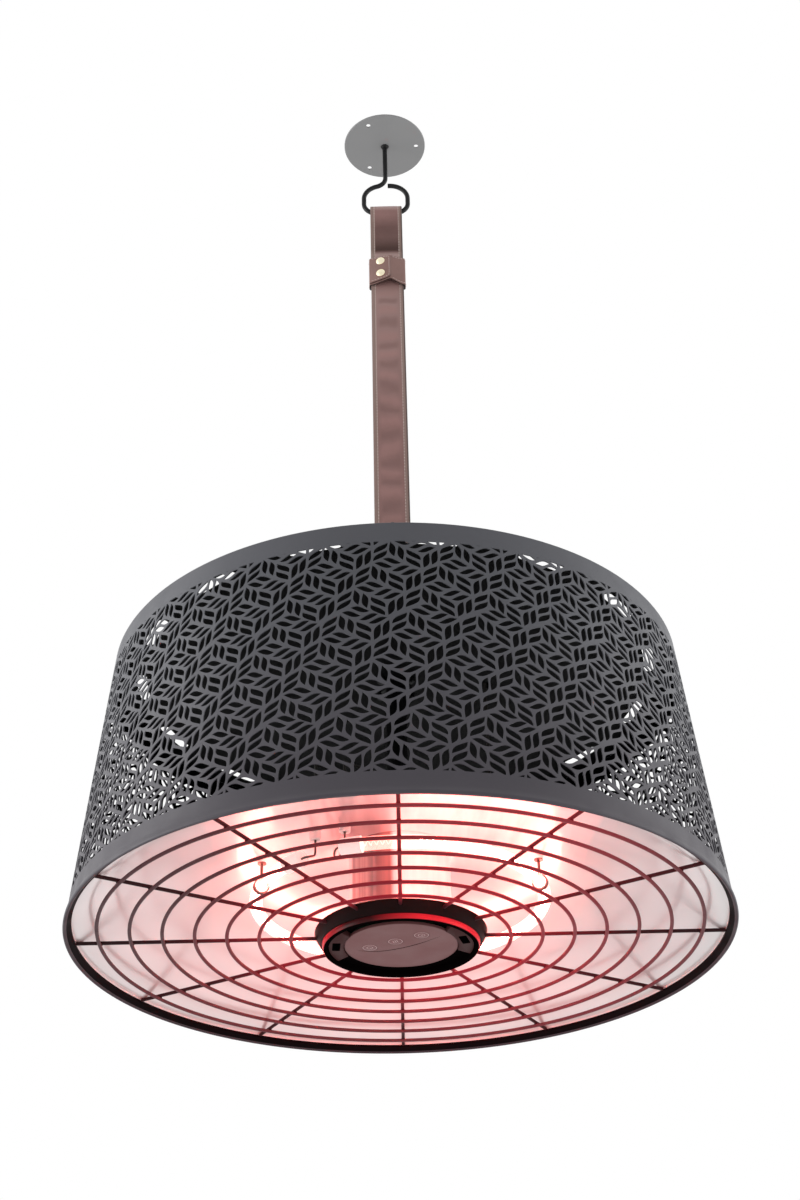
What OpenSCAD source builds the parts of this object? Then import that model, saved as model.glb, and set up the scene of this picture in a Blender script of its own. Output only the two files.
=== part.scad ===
// Hanging infrared heater.
// A drum shade with a ring-shaped quartz heater hangs from the ceiling on a
// leather strap. The origin is the centre of the ceiling plate's upper face,
// +Z is up, and the person using it stands on the -Y side, below.
// Lamp parts are drawn from the plane of the shade's lower rim, then lowered
// by hang_height.

/* [Hanging] */
// Height from the ceiling face down to the plane of the lower rim
hang_height = 1052; // [900:1:1500]
// Height of the strap's lower pin above the plane of the lower rim
pin_height = 300; // [296:1:320]

/* [Ceiling plate] */
// Diameter of the round ceiling plate
plate_d = 100; // [92:1:140]
// Thickness of the ceiling plate
plate_t = 2; // [1.5:0.5:4]
// Pitch circle of the three fixing screws
screw_pcd = 78; // [60:1:80]
// Diameter of each fixing hole
screw_hole_d = 5.5; // [4:0.5:6.5]

/* [Hook] */
// Diameter of the hook's wire
hook_wire_d = 5.6; // [4:0.2:6]
// Depth of the hook ring's centre below the ceiling face
hook_centre = 96; // [80:1:120]
// Half width of the hook ring, to the middle of the wire
hook_half_w = 26.5; // [24:0.5:34]

/* [Strap] */
// Width of the leather strap
strap_w = 38; // [30:1:38]
// Thickness of the leather
strap_t = 2.4; // [1.8:0.2:3]
// Depth of the keeper's upper edge below the ceiling face
keeper_top = 199; // [195:1:260]
// Height of the keeper
keeper_h = 42; // [30:1:60]

/* [Shade] */
// Outer diameter at the lower rim
shade_d = 600; // [600:1:640]
// Outer diameter at the top edge
shade_top_d = 550; // [546:1:560]
// Height of the shade
shade_h = 272; // [272:1:290]
// Thickness of the shade's sheet
wall_t = 1.0; // [0.8:0.1:1.2]
// Number of vent slots in the top cover
slot_count = 15; // [9:1:18]
// Mean radius of the vent slots
slot_r = 249.5; // [200:0.5:252]
// Angle that one vent slot takes up
slot_deg = 9; // [5:0.5:12]

/* [Grille] */
// Number of grille rings
ring_count = 7; // [5:1:7]
// Radius of the innermost grille ring
ring_first = 99.4; // [96:0.1:104]
// Step from one grille ring to the next
ring_step = 28.8; // [26:0.1:28.8]
// Number of spokes
spoke_count = 12; // [8:1:16]
// Diameter of the grille's wire
wire_d = 3.4; // [3:0.1:3.6]

/* [Heating ring] */
// Radius of the quartz ring, to the middle of the tube
heat_r = 132; // [120:1:140]
// Diameter of the quartz tube
heat_d = 12; // [10:0.5:13]
// Height of the quartz ring above the lower rim
heat_z = 40; // [36:1:42]

/* [Hub] */
// Diameter of the hub's upper edge
hub_top_d = 158; // [150:1:164]
// Diameter of the hub's lower edge
hub_low_d = 140.6; // [136:0.2:146]
// Diameter of the control panel
panel_d = 103; // [98:1:104]
// Angle of the row of keys in the panel
panel_turn = -30; // [-90:1:90]
// Diameter of each key
key_d = 14; // [10:0.2:14]
// Distance between neighbouring keys
key_step = 27; // [22:0.5:28]
// Travel of each key
key_travel = 0.8; // [0.4:0.1:0.9]

/* [Cable inlet] */
// Diameter of the cable that the gland takes
cable_d = 8; // [6:0.5:9]

/* [Hidden] */
$fn = 96;

e = 0.01;
hw = hook_wire_d / 2;
zc = -hook_centre;                 // centre of the hook ring
hook_up_r = 22;                    // upper shoulders of the hook ring
hook_low_r = 16;                   // lower corners of the hook ring
hook_bot = 22.7;                   // depth of the bottom wire below zc
hook_top = 24.4;                   // height of the top wire above zc
hook_s_r = 15;                     // bend between rod and ring
su = hook_half_w - hook_up_r;      // centre of the upper shoulders
sl = hook_half_w - hook_low_r;     // centre of the lower corners
zu = hook_top - hook_up_r;
zl = hook_low_r - hook_bot;
s_dx = hook_s_r - su;
s_dz = sqrt(pow(hook_up_r + hook_s_r, 2) - s_dx * s_dx);
rod_end = zc + zu + s_dz;          // where the straight rod ends
s_ang = atan2(s_dz, s_dx);         // angle of the bend

// the strap's two loops
loop_in = 4.75;
loop_axis = zc - 21.15;
pin_r = 5;
low_in = pin_r + 0.08;
pin_z = pin_height - hang_height;
gap = 0.3;                         // half the gap between the layers
mid_w = gap + strap_t;
join_top = loop_axis - 70;
join_low = pin_z + 60;

// lamp heights above the lower rim
Rb = shade_d / 2;
Rt = shade_top_d / 2;
function wall_out(z) = Rb - (Rb - Rt) * z / shade_h;
flange_z = 1.2;
cover_top = shade_h - flange_z;
cover_t = 1.0;
cover_low = cover_top - cover_t;
wr = wire_d / 2;
ring_z = 4.5;
spoke_z = ring_z + 2 * wr - 0.15;        // welded on top of the rings
rim_in = Rb - 5.8;                 // inner edge of the rim
spoke_end = wall_out(spoke_z) - wall_t - 1.6 + 0.2;   // the spokes are welded to the rim's lip
refl_edge = 289;
refl_edge_z = spoke_z + wr + 0.02;
refl_in = 60;
refl_in_z = 90;
refl_t = 0.9;
function refl_z(r) = refl_edge_z + (refl_in_z - refl_edge_z) * (refl_edge - r) / (refl_edge - refl_in);
column_r = 47;
column_t = 0.8;

// hub heights above the lower rim
hub_z0 = -4.3;
hub_z1 = 11.7;
function hub_r(z) = hub_low_d / 2 + (hub_top_d - hub_low_d) / 2 * (z - hub_z0) / (hub_z1 - hub_z0);
panel_z = -1.1;
panel_t = 2.5;
panel_top = panel_z + panel_t;
bezel_in = panel_d / 2 + 0.3;
groove_r = 66;
ear_half = 32;
ear_at = [-176, -15];
window_w = 7.6; window_l = 18;     // sensor windows, radial and tangential
key_v = -12;
key_u0 = 1;

// heating ring ends
end_a = -108;
end_sweep = 334;
cap_deg = 8;
bush_r = 118;
bush_at = [-113.5, -128.5];
clip_at = [-18, 102, 200];

// terminal box on the cover
box_x0 = 62; box_x1 = 148; box_y = 32; box_h = 32; box_t = 2;
gland_z = cover_top + 16;
feed_x = 88;
lead_z = 130;

module lamp() { translate([0, 0, -hang_height]) children(); }

// a bent piece of wire in the XZ plane
module wire_arc(cx, cz, R, a0, a1, r) {
  translate([cx, 0, cz]) rotate([90, 0, 0]) rotate([0, 0, a0])
    rotate_extrude(angle = a1 - a0) translate([R, 0]) circle(r, $fn = 32);
}
// a straight piece of wire between two points, longer by over at both ends
module rod(p, q, r, f = 32, over = 0) {
  d = q - p;
  L = norm(d);
  translate(p - d * over / L) rotate([0, acos(d[2] / L), atan2(d[1], d[0])]) cylinder(h = L + 2 * over, r = r, $fn = f);
}
module hex(af, h) { cylinder(h = h, r = af / 2 / cos(30), $fn = 6); }
// button-head screw, head up, its seat at z = 0
module screw(r, len, head_r, head_h) {
  rotate_extrude($fn = 32) polygon([[0, -len], [r, -len], [r, 0], [head_r, 0],
    [head_r, head_h * 0.45], [head_r * 0.72, head_h], [0, head_h]]);
}
// a plate with rounded corners, in 2D
module round_rect(w, h, r) {
  square([w - 2 * r, h], center = true);
  square([w, h - 2 * r], center = true);
  for (sx = [-1, 1], sy = [-1, 1]) translate([sx * (w / 2 - r), sy * (h / 2 - r)]) circle(r, $fn = 32);
}
// a sector of a ring, in 3D
module sector(r0, r1, z0, z1, mid, half) {
  translate([0, 0, z0]) rotate([0, 0, mid - half])
    rotate_extrude(angle = 2 * half) translate([r0, 0]) square([r1 - r0, z1 - z0]);
}

// ---------- ceiling plate and hook ----------
module ceiling_plate() {
  color([0.16, 0.16, 0.17])
  difference() {
    rotate_extrude() polygon([[0, -plate_t], [plate_d / 2 - 0.6, -plate_t], [plate_d / 2, -plate_t + 0.6],
      [plate_d / 2, -0.3], [plate_d / 2 - 0.3, 0], [0, 0]]);
    for (i = [0 : 2]) rotate([0, 0, i * 120]) translate([screw_pcd / 2, 0, -plate_t - 1])
      cylinder(h = plate_t + 2, d = screw_hole_d, $fn = 48);
  }
}

module hook() {
  color([0.07, 0.07, 0.075]) union() {
    translate([0, 0, rod_end]) cylinder(h = -plate_t - rod_end, r = hw, $fn = 32);
    // weld at the plate
    translate([0, 0, -plate_t - 2.5]) cylinder(h = 2.5, r1 = hw, r2 = hw + 1.9, $fn = 32);
    // the bends run a degree into the wire at their ends
    wire_arc(-hook_s_r, rod_end, hook_s_r, -s_ang - 1, 1, hw - 0.06);
    wire_arc(-su, zc + zu, hook_up_r, 180 - s_ang, 181, hw - 0.03);
    rod([-hook_half_w, 0, zc + zu], [-hook_half_w, 0, zc + zl], hw);
    wire_arc(-sl, zc + zl, hook_low_r, 180, 270, hw);
    rod([-sl, 0, zc - hook_bot], [sl, 0, zc - hook_bot], hw);
    wire_arc(sl, zc + zl, hook_low_r, 270, 360, hw);
    rod([hook_half_w, 0, zc + zl], [hook_half_w, 0, zc + zu], hw);
    wire_arc(su, zc + zu, hook_up_r, 0, 90, hw);
    rod([su, 0, zc + hook_top], [2.6, 0, zc + hook_top], hw);
  }
}

// ---------- strap ----------
function smooth(t) = t * t * (3 - 2 * t);
// half thickness of the folded strap at height z, a touch less than the loops
// where it runs into them
function strap_half(z) =
  z > join_top ? mid_w + (loop_in + strap_t - 0.05 - mid_w) * smooth((z - join_top) / (loop_axis - join_top)) :
  z < join_low ? mid_w + (low_in + strap_t - 0.05 - mid_w) * smooth((join_low - z) / (join_low - pin_z)) : mid_w;
strap_zs = concat([for (i = [0 : 10]) loop_axis - (loop_axis - join_top) * i / 10],
                  [for (i = [0 : 10]) join_low - (join_low - pin_z) * i / 10]);
module strap_side(t) {
  n = len(strap_zs);
  polygon(concat([for (i = [0 : n - 1]) [strap_half(strap_zs[i]) - t, strap_zs[i]]],
                 [for (i = [n - 1 : -1 : 0]) [-strap_half(strap_zs[i]) + t, strap_zs[i]]]));
}
module strap() {
  color([0.36, 0.25, 0.22])
  rotate([90, 0, 90]) difference() {
    union() {
      linear_extrude(height = strap_w, center = true) strap_side(0);
      translate([0, loop_axis, 0]) cylinder(h = strap_w, r = loop_in + strap_t, center = true);
      translate([0, pin_z, 0]) cylinder(h = strap_w, r = low_in + strap_t, center = true);
    }
    linear_extrude(height = strap_w + 2, center = true) strap_side(strap_t);
    translate([0, loop_axis, 0]) cylinder(h = strap_w + 2, r = loop_in, center = true);
    translate([0, pin_z, 0]) cylinder(h = strap_w + 2, r = low_in, center = true);
  }
}

keep_ix = strap_w + 0.6;
keep_iy = 2 * mid_w + 0.6;
keep_t = 2;
keep_bulge = 6;                    // the loop stands off the strap at the front
keep_ridge = 3.5;
keep_turn = -atan2(keep_bulge, keep_ix / 2 + keep_ridge);
tab_t = 1.8;
module keeper_inside() {
  polygon([[-keep_ix / 2, -keep_iy / 2], [keep_ridge, -keep_iy / 2 - keep_bulge], [keep_ix / 2, -keep_iy / 2],
           [keep_ix / 2, keep_iy / 2], [-keep_ix / 2, keep_iy / 2]]);
}
// places a flat thing on the tab's side of the front: x runs along the face, -y points out of it
module on_face() {
  translate([-keep_ix / 2, -keep_iy / 2, 0]) rotate([0, 0, keep_turn]) children();
}
module strap_keeper() {
  color([0.4, 0.29, 0.26])
  translate([0, 0, -keeper_top - keeper_h]) union() {
    difference() {
      linear_extrude(height = keeper_h) difference() {
        offset(r = keep_t, $fn = 48) keeper_inside();
        keeper_inside();
      }
      // the front's lower edge rises to the ridge
      rotate([90, 0, 0]) translate([0, 0, keep_iy / 2 - 0.4]) linear_extrude(height = 30)
        polygon([[-keep_ix / 2 + 1, -1], [keep_ridge, 5], [keep_ix / 2 - 1, -1]]);
    }
    // overlapping tab on the front
    on_face() translate([0, -keep_t - tab_t, 0]) rotate([-90, 0, 0]) mirror([0, 1, 0]) linear_extrude(height = tab_t + 0.05)
      polygon([[0.3, 1], [20, 5.4], [23.6, 7], [25, 10], [25, keeper_h - 1.5], [0.3, keeper_h - 1.5]]);
  }
}
module keeper_snaps() {
  color([0.8, 0.65, 0.36])
  for (z = [-keeper_top - 9, -keeper_top - 28])
    on_face() translate([12.8, -keep_t - tab_t, z]) rotate([90, 0, 0])
      rotate_extrude($fn = 48) polygon([[0, 0], [5.2, 0], [5.2, 0.5], [4.6, 1.2], [3.4, 1.7], [1.8, 2.0], [0, 2.1]]);
}

// ---------- hanger on the top cover ----------
leg_in = strap_w / 2 + 4.5;
leg_t = 3;
module hanger_bracket() {
  color([0.12, 0.12, 0.13]) lamp() difference() {
    union() {
      translate([0, 0, cover_top]) linear_extrude(height = 3) round_rect(2 * (leg_in + leg_t), 48, 4);
      for (s = [-1, 1]) translate([s * (leg_in + leg_t / 2), 0, 0]) {
        translate([0, 0, (cover_top + 2 + pin_height) / 2]) cube([leg_t, 32, pin_height - cover_top - 2], center = true);
        translate([0, 0, pin_height]) rotate([0, 90, 0]) cylinder(h = leg_t, r = 16, center = true);
      }
    }
    translate([0, 0, pin_height]) rotate([0, 90, 0]) cylinder(h = 100, r = pin_r + 0.05, center = true);
    translate([0, 0, cover_top - 1]) cylinder(h = 5, r = 10.1);
    for (x = [-14, 14], y = [-16, 16]) translate([x, y, cover_top - 1]) cylinder(h = 5, r = 2.6, $fn = 32);
  }
}
module hanger_pin() {
  color([0.45, 0.45, 0.46]) lamp() translate([0, 0, pin_height]) rotate([0, 90, 0]) difference() {
    union() {
      translate([0, 0, -leg_in - leg_t]) cylinder(h = 2 * leg_in + 2 * leg_t + 3.6, r = pin_r);
      translate([0, 0, -leg_in - leg_t - 3]) cylinder(h = 3, r = 8);
    }
    translate([0, 0, leg_in + leg_t + 0.3]) difference() { cylinder(h = 1.2, r = 7); translate([0, 0, -1]) cylinder(h = 3, r = 4.1); }
  }
}
module pin_clip() {
  color([0.6, 0.6, 0.6]) lamp() translate([leg_in + leg_t + 0.35, 0, pin_height]) rotate([0, 90, 0]) difference() {
    cylinder(h = 1.1, r = 7.6);
    translate([0, 0, -1]) cylinder(h = 3, r = 4.15);
    translate([-4, 3, -1]) cube([8, 8, 3]);
  }
}
module bracket_bolts() {
  color([0.6, 0.6, 0.62]) lamp() for (x = [-14, 14], y = [-16, 16])
    translate([x, y, cover_top + 3]) screw(2.45, 9, 4.6, 2.8);
}
module bracket_nuts() {
  color([0.6, 0.6, 0.62]) lamp() for (x = [-14, 14], y = [-16, 16])
    translate([x, y, cover_low - 4]) difference() { hex(8, 4); translate([0, 0, -1]) cylinder(h = 6, r = 2.5, $fn = 32); }
}

// ---------- shade ----------
cover_screw_n = 6;
module top_cover() {
  color([0.1, 0.1, 0.105]) lamp() difference() {
    translate([0, 0, cover_low]) cylinder(h = cover_t, r = wall_out(cover_top) - wall_t - 0.3, $fn = 180);
    for (i = [0 : slot_count - 1]) rotate([0, 0, -10 + i * 360 / slot_count]) {
      sector(slot_r - 4.8, slot_r + 4.8, cover_low - 1, cover_top + 1, 0, slot_deg / 2);
      for (s = [-1, 1]) rotate([0, 0, s * slot_deg / 2]) translate([slot_r, 0, cover_low - 1]) cylinder(h = cover_t + 2, r = 4.8, $fn = 32);
    }
    translate([0, 0, cover_low - 1]) cylinder(h = cover_t + 2, r = 10.1);
    for (x = [-14, 14], y = [-16, 16]) translate([x, y, cover_low - 1]) cylinder(h = cover_t + 2, r = 2.6, $fn = 32);
    translate([feed_x, 0, cover_low - 1]) cylinder(h = cover_t + 2, r = 7, $fn = 32);
    for (i = [0 : cover_screw_n - 1]) rotate([0, 0, 30 + i * 60]) translate([Rt - 5.4, 0, cover_low - 1]) cylinder(h = cover_t + 2, r = 1.8, $fn = 32);
  }
}
module cover_screws() {
  color([0.12, 0.12, 0.12]) lamp() for (i = [0 : cover_screw_n - 1]) rotate([0, 0, 30 + i * 60])
    translate([Rt - 5.4, 0, shade_h]) screw(1.7, 6, 3.4, 2);
}
module shade_wall() {
  color([0.29, 0.3, 0.32]) lamp() difference() {
    rotate_extrude($fn = 180) polygon([
      [wall_out(3.25), 3.25], [wall_out(shade_h - 0.8), shade_h - 0.8], [wall_out(shade_h) - 0.7, shade_h],
      [Rt - 9, shade_h], [Rt - 9, cover_top], [wall_out(cover_top) - wall_t, cover_top],
      [wall_out(3.25) - wall_t, 3.25]]);
    for (i = [0 : cover_screw_n - 1]) rotate([0, 0, 30 + i * 60]) translate([Rt - 5.4, 0, cover_top - 1]) cylinder(h = 4, r = 1.8, $fn = 32);
  }
}
module rim_ring() {
  color([0.12, 0.09, 0.09]) lamp() rotate_extrude($fn = 180) polygon([
    // rolled lower edge that stands a little proud of the wall, then a face that slopes up and inwards
    [Rb - 0.4, 0], [Rb + 0.7, 0], [Rb + 1.3, 0.3], [Rb + 1.6, 0.95], [Rb + 1.6, 2.2], [Rb + 1.2, 2.9], [Rb + 0.5, 3.2],
    // lip inside the wall
    [wall_out(3.2) - wall_t - 0.1, 3.2], [wall_out(16) - wall_t - 0.1, 16], [wall_out(16) - wall_t - 1.6, 16], [wall_out(7) - wall_t - 1.6, 7],
    // groove and upright inner edge below the reflector
    [Rb - 3.2, 4.5], [rim_in + 1.4, 5.6], [rim_in + 1.4, refl_edge_z - 0.05], [rim_in, refl_edge_z - 0.05], [rim_in, 5]]);
}

// ---------- stem ----------
module stem_tube() {
  color([0.55, 0.55, 0.56]) lamp() difference() {
    union() {
      translate([0, 0, hub_z1]) cylinder(h = cover_top + 3 + 10.5 - hub_z1, r = 10);
      translate([0, 0, hub_z1]) cylinder(h = 2.5, r = 24);
    }
    translate([0, 0, hub_z1 - 1]) cylinder(h = cover_top + 40, r = 8.2);
    for (i = [0 : 2]) rotate([0, 0, i * 120 + 30]) translate([18, 0, hub_z1 - 1]) cylinder(h = 5, r = 2.1, $fn = 32);
  }
}
module stem_nuts() {
  color([0.6, 0.6, 0.62]) lamp() for (z = [cover_low - 6, cover_top + 3])
    translate([0, 0, z]) difference() { hex(26, 6); translate([0, 0, -1]) cylinder(h = 8, r = 10.03); }
}
module stem_screws() {
  color([0.6, 0.6, 0.62]) lamp() for (i = [0 : 2]) rotate([0, 0, i * 120 + 30]) translate([18, 0, hub_z1 + 2.5])
    screw(2.0, 4.2, 3.6, 2.2);
}

// ---------- reflector and heating ring ----------
module reflector() {
  color([0.86, 0.84, 0.84]) lamp() difference() {
    // the flat outer edge lies just above the spokes and the rim's upright edge
    rotate_extrude($fn = 180) polygon([
      [rim_in + 0.85, refl_edge_z], [refl_edge, refl_edge_z], [refl_in, refl_in_z], [column_r + 0.6, refl_in_z + 0.6],
      [column_r + 0.6, refl_in_z + 0.6 + refl_t], [refl_in, refl_in_z + refl_t], [refl_edge, refl_edge_z + refl_t],
      [rim_in + 0.85, refl_edge_z + refl_t]]);
    for (a = bush_at) rotate([0, 0, a]) translate([bush_r, 0, 50]) cylinder(h = 40, r = 5.2, $fn = 32);
  }
}
module reflector_column() {
  color([0.88, 0.87, 0.87]) lamp() rotate_extrude($fn = 128) polygon([
    [column_r - column_t, hub_z1 + 0.05], [column_r, hub_z1 + 0.05], [column_r, refl_in_z + 0.65 + refl_t],
    [column_r + 9, refl_in_z + 0.65 + refl_t], [column_r + 9, refl_in_z + 1.45 + refl_t],
    [column_r - column_t, refl_in_z + 1.45 + refl_t]]);
}
module feed_bushings() {
  color([0.92, 0.9, 0.84]) lamp() for (a = bush_at) rotate([0, 0, a]) translate([bush_r, 0, refl_z(bush_r)]) difference() {
    union() {
      translate([0, 0, -8]) cylinder(h = 19, r = 5, $fn = 32);
      translate([0, 0, 3.2]) cylinder(h = 4, r = 7.5, $fn = 32);
    }
    translate([0, 0, -9]) cylinder(h = 21, r = 1.7, $fn = 32);
  }
}
module tube_arc(a0, sweep, r) {
  rotate([0, 0, a0]) rotate_extrude(angle = sweep, $fn = 160) translate([heat_r, 0]) circle(r, $fn = 40);
}
module heat_tube() {
  color([1.0, 0.55, 0.42]) lamp() translate([0, 0, heat_z])
    rotate([0, 0, end_a]) rotate_extrude(angle = end_sweep, $fn = 160) translate([heat_r, 0]) difference() {
      circle(heat_d / 2, $fn = 40);
      circle(heat_d / 2 - 1.4, $fn = 40);
    }
}
module heat_filament() {
  color([1.0, 0.8, 0.45]) lamp() translate([0, 0, heat_z]) tube_arc(end_a + 1, end_sweep - 2, 1.8);
}
module tube_end_caps() {
  color([0.93, 0.9, 0.85]) lamp() translate([0, 0, heat_z]) {
    difference() {
      tube_arc(end_a - cap_deg / 2, cap_deg, heat_d / 2 + 1.6);
      tube_arc(end_a - 0.3, cap_deg, heat_d / 2 + 0.05);
    }
    difference() {
      tube_arc(end_a + end_sweep - cap_deg / 2, cap_deg, heat_d / 2 + 1.6);
      tube_arc(end_a + end_sweep - cap_deg + 0.3, cap_deg, heat_d / 2 + 0.05);
    }
  }
}
function on_ring(a, z, r = heat_r) = [r * cos(a), r * sin(a), z];
lead_a = end_a - cap_deg / 2;
lead_b = end_a + end_sweep - 360 + cap_deg / 2;
module tube_leads() {
  color([0.75, 0.75, 0.74]) lamp() {
    for (k = [0, 1]) {
      a = k == 0 ? lead_a : lead_b;
      s = k == 0 ? -1 : 1;
      p0 = on_ring(a + s * 0.02, heat_z);
      p1 = on_ring(a + s * 2.2, heat_z);
      p2 = on_ring(bush_at[k], heat_z + 6, bush_r);
      p3 = on_ring(bush_at[k], refl_z(bush_r) - 8.05, bush_r);
      rod(p0, p1, 1.1, 24);
      rod(p1, p2, 1.05, 24, 0.6);
      rod(p2, p3, 1.1, 24);
    }
  }
}
module tube_clips() {
  color([0.7, 0.7, 0.7]) lamp() for (a = clip_at) rotate([0, 0, a]) translate([heat_r, 0, 0]) {
    translate([0, 0, heat_z]) rotate([90, 0, 0]) difference() {
      cylinder(h = 5, r = heat_d / 2 + 1.2, center = true, $fn = 48);
      cylinder(h = 6, r = heat_d / 2 + 0.06, center = true, $fn = 48);
    }
    translate([0, 0, heat_z + heat_d / 2 + 0.7]) cylinder(h = refl_z(heat_r) - heat_z - heat_d / 2 - 2.4, r = 1.3, $fn = 24);
    translate([0, 0, refl_z(heat_r) - 3.2]) cylinder(h = 1.0, r = 4, $fn = 32);
  }
}

// ---------- grille ----------
module grille_rings() {
  color([0.12, 0.08, 0.08]) lamp() for (i = [0 : ring_count - 1]) translate([0, 0, ring_z])
    rotate_extrude($fn = 160) translate([ring_first + i * ring_step, 0]) circle(wr, $fn = 32);
}
module grille_spokes() {
  color([0.12, 0.08, 0.08]) lamp() for (i = [0 : spoke_count - 1]) rotate([0, 0, i * 360 / spoke_count])
    translate([hub_r(spoke_z) - 1, 0, spoke_z]) rotate([0, 90, 0]) cylinder(h = spoke_end - hub_r(spoke_z) + 1, r = wr, $fn = 32);
}

// ---------- hub ----------
acc_z1 = 0.7;
acc_z0 = -3.8;
module hub_housing() {
  color([0.06, 0.05, 0.05]) lamp() difference() {
    rotate_extrude($fn = 128) polygon([
      [8, hub_z1 - 1.7], [hub_r(hub_z1 - 1.7) - 2.2, hub_z1 - 1.7], [hub_r(acc_z1) - 2.2, acc_z1],
      [hub_r(acc_z1), acc_z1], [hub_r(hub_z1 - 0.8), hub_z1 - 0.8], [hub_r(hub_z1) - 0.9, hub_z1], [8, hub_z1]]);
    for (i = [0 : 2]) rotate([0, 0, i * 120 + 30]) translate([18, 0, hub_z1 - 3]) cylinder(h = 5, r = 2.1, $fn = 32);
  }
}
module accent_ring() {
  color([0.85, 0.1, 0.12]) lamp() rotate_extrude($fn = 128) polygon([
    [hub_r(acc_z0) - 1.8, acc_z0], [hub_r(acc_z0), acc_z0], [hub_r(acc_z0) + 1.2, acc_z1], [hub_r(acc_z1) - 2.2, acc_z1]]);
}
// black lower ring with two crescent grooves between the ears
module hub_bezel() {
  color([0.04, 0.035, 0.035]) lamp() rotate_extrude($fn = 128) polygon([
    [bezel_in, 2.6], [groove_r, 2.6], [groove_r, hub_z0], [hub_r(hub_z0) - 0.5, hub_z0], [hub_r(acc_z0) - 0.1, acc_z0 - 0.05],
    [hub_r(acc_z0) - 1.85, acc_z0 - 0.05], [hub_r(acc_z1) - 2.3, acc_z1], [hub_r(4.2) - 2.5, 4.2], [bezel_in, 4.2]]);
}
module panel_ears() {
  color([0.3, 0.22, 0.22]) lamp() for (a = ear_at) difference() {
    sector(bezel_in, groove_r - 0.1, -2.4, 2.55, a, ear_half);
    rotate([0, 0, a]) translate([58.7 - window_w / 2 - 0.1, -window_l / 2 - 0.1, -3]) cube([window_w + 0.2, window_l + 0.2, 1.8]);
  }
}
module sensor_windows() {
  color([0.01, 0.01, 0.01]) lamp() for (a = ear_at) rotate([0, 0, a])
    translate([58.7 - window_w / 2, -window_l / 2, -2.6]) cube([window_w, window_l, 1.35]);
}
function key_pos(k) = [key_u0 + (k - 1) * key_step, key_v];
module control_panel() {
  color([0.36, 0.26, 0.27]) lamp() rotate([0, 0, panel_turn]) difference() {
    union() {
      translate([0, 0, panel_z]) cylinder(h = panel_t, r = panel_d / 2, $fn = 128);
      // rim that catches on the bezel
      translate([0, 0, panel_top]) difference() { cylinder(h = 1.1, r = panel_d / 2, $fn = 128); translate([0, 0, -1]) cylinder(h = 4, r = panel_d / 2 - 2.5, $fn = 128); }
      // posts under the circuit board
      for (p = [[0, 42], [-38, 16], [38, 16], [0, -41]]) translate([p[0], p[1], panel_top - 0.5]) cylinder(h = board_z - panel_top + 0.5, r = 2.4, $fn = 32);
    }
    for (k = [0 : 2]) translate([key_pos(k)[0], key_pos(k)[1], panel_z - 1]) cylinder(h = panel_t + 2, r = key_d / 2 + 0.3, $fn = 64);
  }
}
module key(k) {
  lamp() rotate([0, 0, panel_turn]) translate([key_pos(k)[0], key_pos(k)[1], 0]) rotate_extrude($fn = 64) polygon([
    [0, panel_z], [key_d / 2 - 0.3, panel_z], [key_d / 2, panel_z + 0.3], [key_d / 2, panel_top + 0.2],
    [key_d / 2 + 1, panel_top + 0.2], [key_d / 2 + 1, panel_top + 0.8], [1.5, panel_top + 0.8], [1.5, panel_top + 1.9], [0, panel_top + 1.9]]);
}
module key_power() { color([0.38, 0.28, 0.29]) key(0); }
module key_heat() { color([0.38, 0.28, 0.29]) key(1); }
module key_timer() { color([0.38, 0.28, 0.29]) key(2); }
board_z = 5.6;
module circuit_board() {
  color([0.05, 0.3, 0.14]) lamp() rotate([0, 0, panel_turn]) {
    difference() {
      translate([0, 0, board_z]) cylinder(h = 1.6, r = 47, $fn = 64);
      translate([0, 0, board_z - 1]) cylinder(h = 4, r = 5, $fn = 32);
    }
    // push switches over the keys
    for (k = [0 : 2]) translate([key_pos(k)[0] - 3, key_pos(k)[1] - 3, board_z - 1.2]) cube([6, 6, 1.25]);
    translate([-14, 12, board_z + 1.55]) cube([12, 12, 1.5]);
    translate([8, 16, board_z + 1.55]) cube([14, 6, 2]);
  }
}

// ---------- terminal box and cable inlet ----------
box_cx = (box_x0 + box_x1) / 2;
box_w = box_x1 - box_x0;
module terminal_box() {
  color([0.08, 0.08, 0.08]) lamp() difference() {
    union() {
      difference() {
        translate([box_cx, 0, cover_top]) linear_extrude(height = box_h) round_rect(box_w, 2 * box_y, 5);
        translate([box_cx, 0, cover_top + box_t]) linear_extrude(height = box_h) round_rect(box_w - 2 * box_t, 2 * box_y - 2 * box_t, 3.5);
      }
      for (sx = [-1, 1], sy = [-1, 1]) translate([box_cx + sx * (box_w / 2 - 6), sy * (box_y - 6), cover_top + 1]) cylinder(h = box_h - 1, r = 4.2, $fn = 32);
    }
    for (sx = [-1, 1], sy = [-1, 1]) translate([box_cx + sx * (box_w / 2 - 6), sy * (box_y - 6), cover_top + box_h - 12]) cylinder(h = 20, r = 1.6, $fn = 32);
    translate([feed_x, 0, cover_top - 1]) cylinder(h = 5, r = 7, $fn = 32);
    translate([box_x1 - 5, 0, gland_z]) rotate([0, 90, 0]) cylinder(h = 10, r = 8.05, $fn = 64);
  }
}
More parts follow.
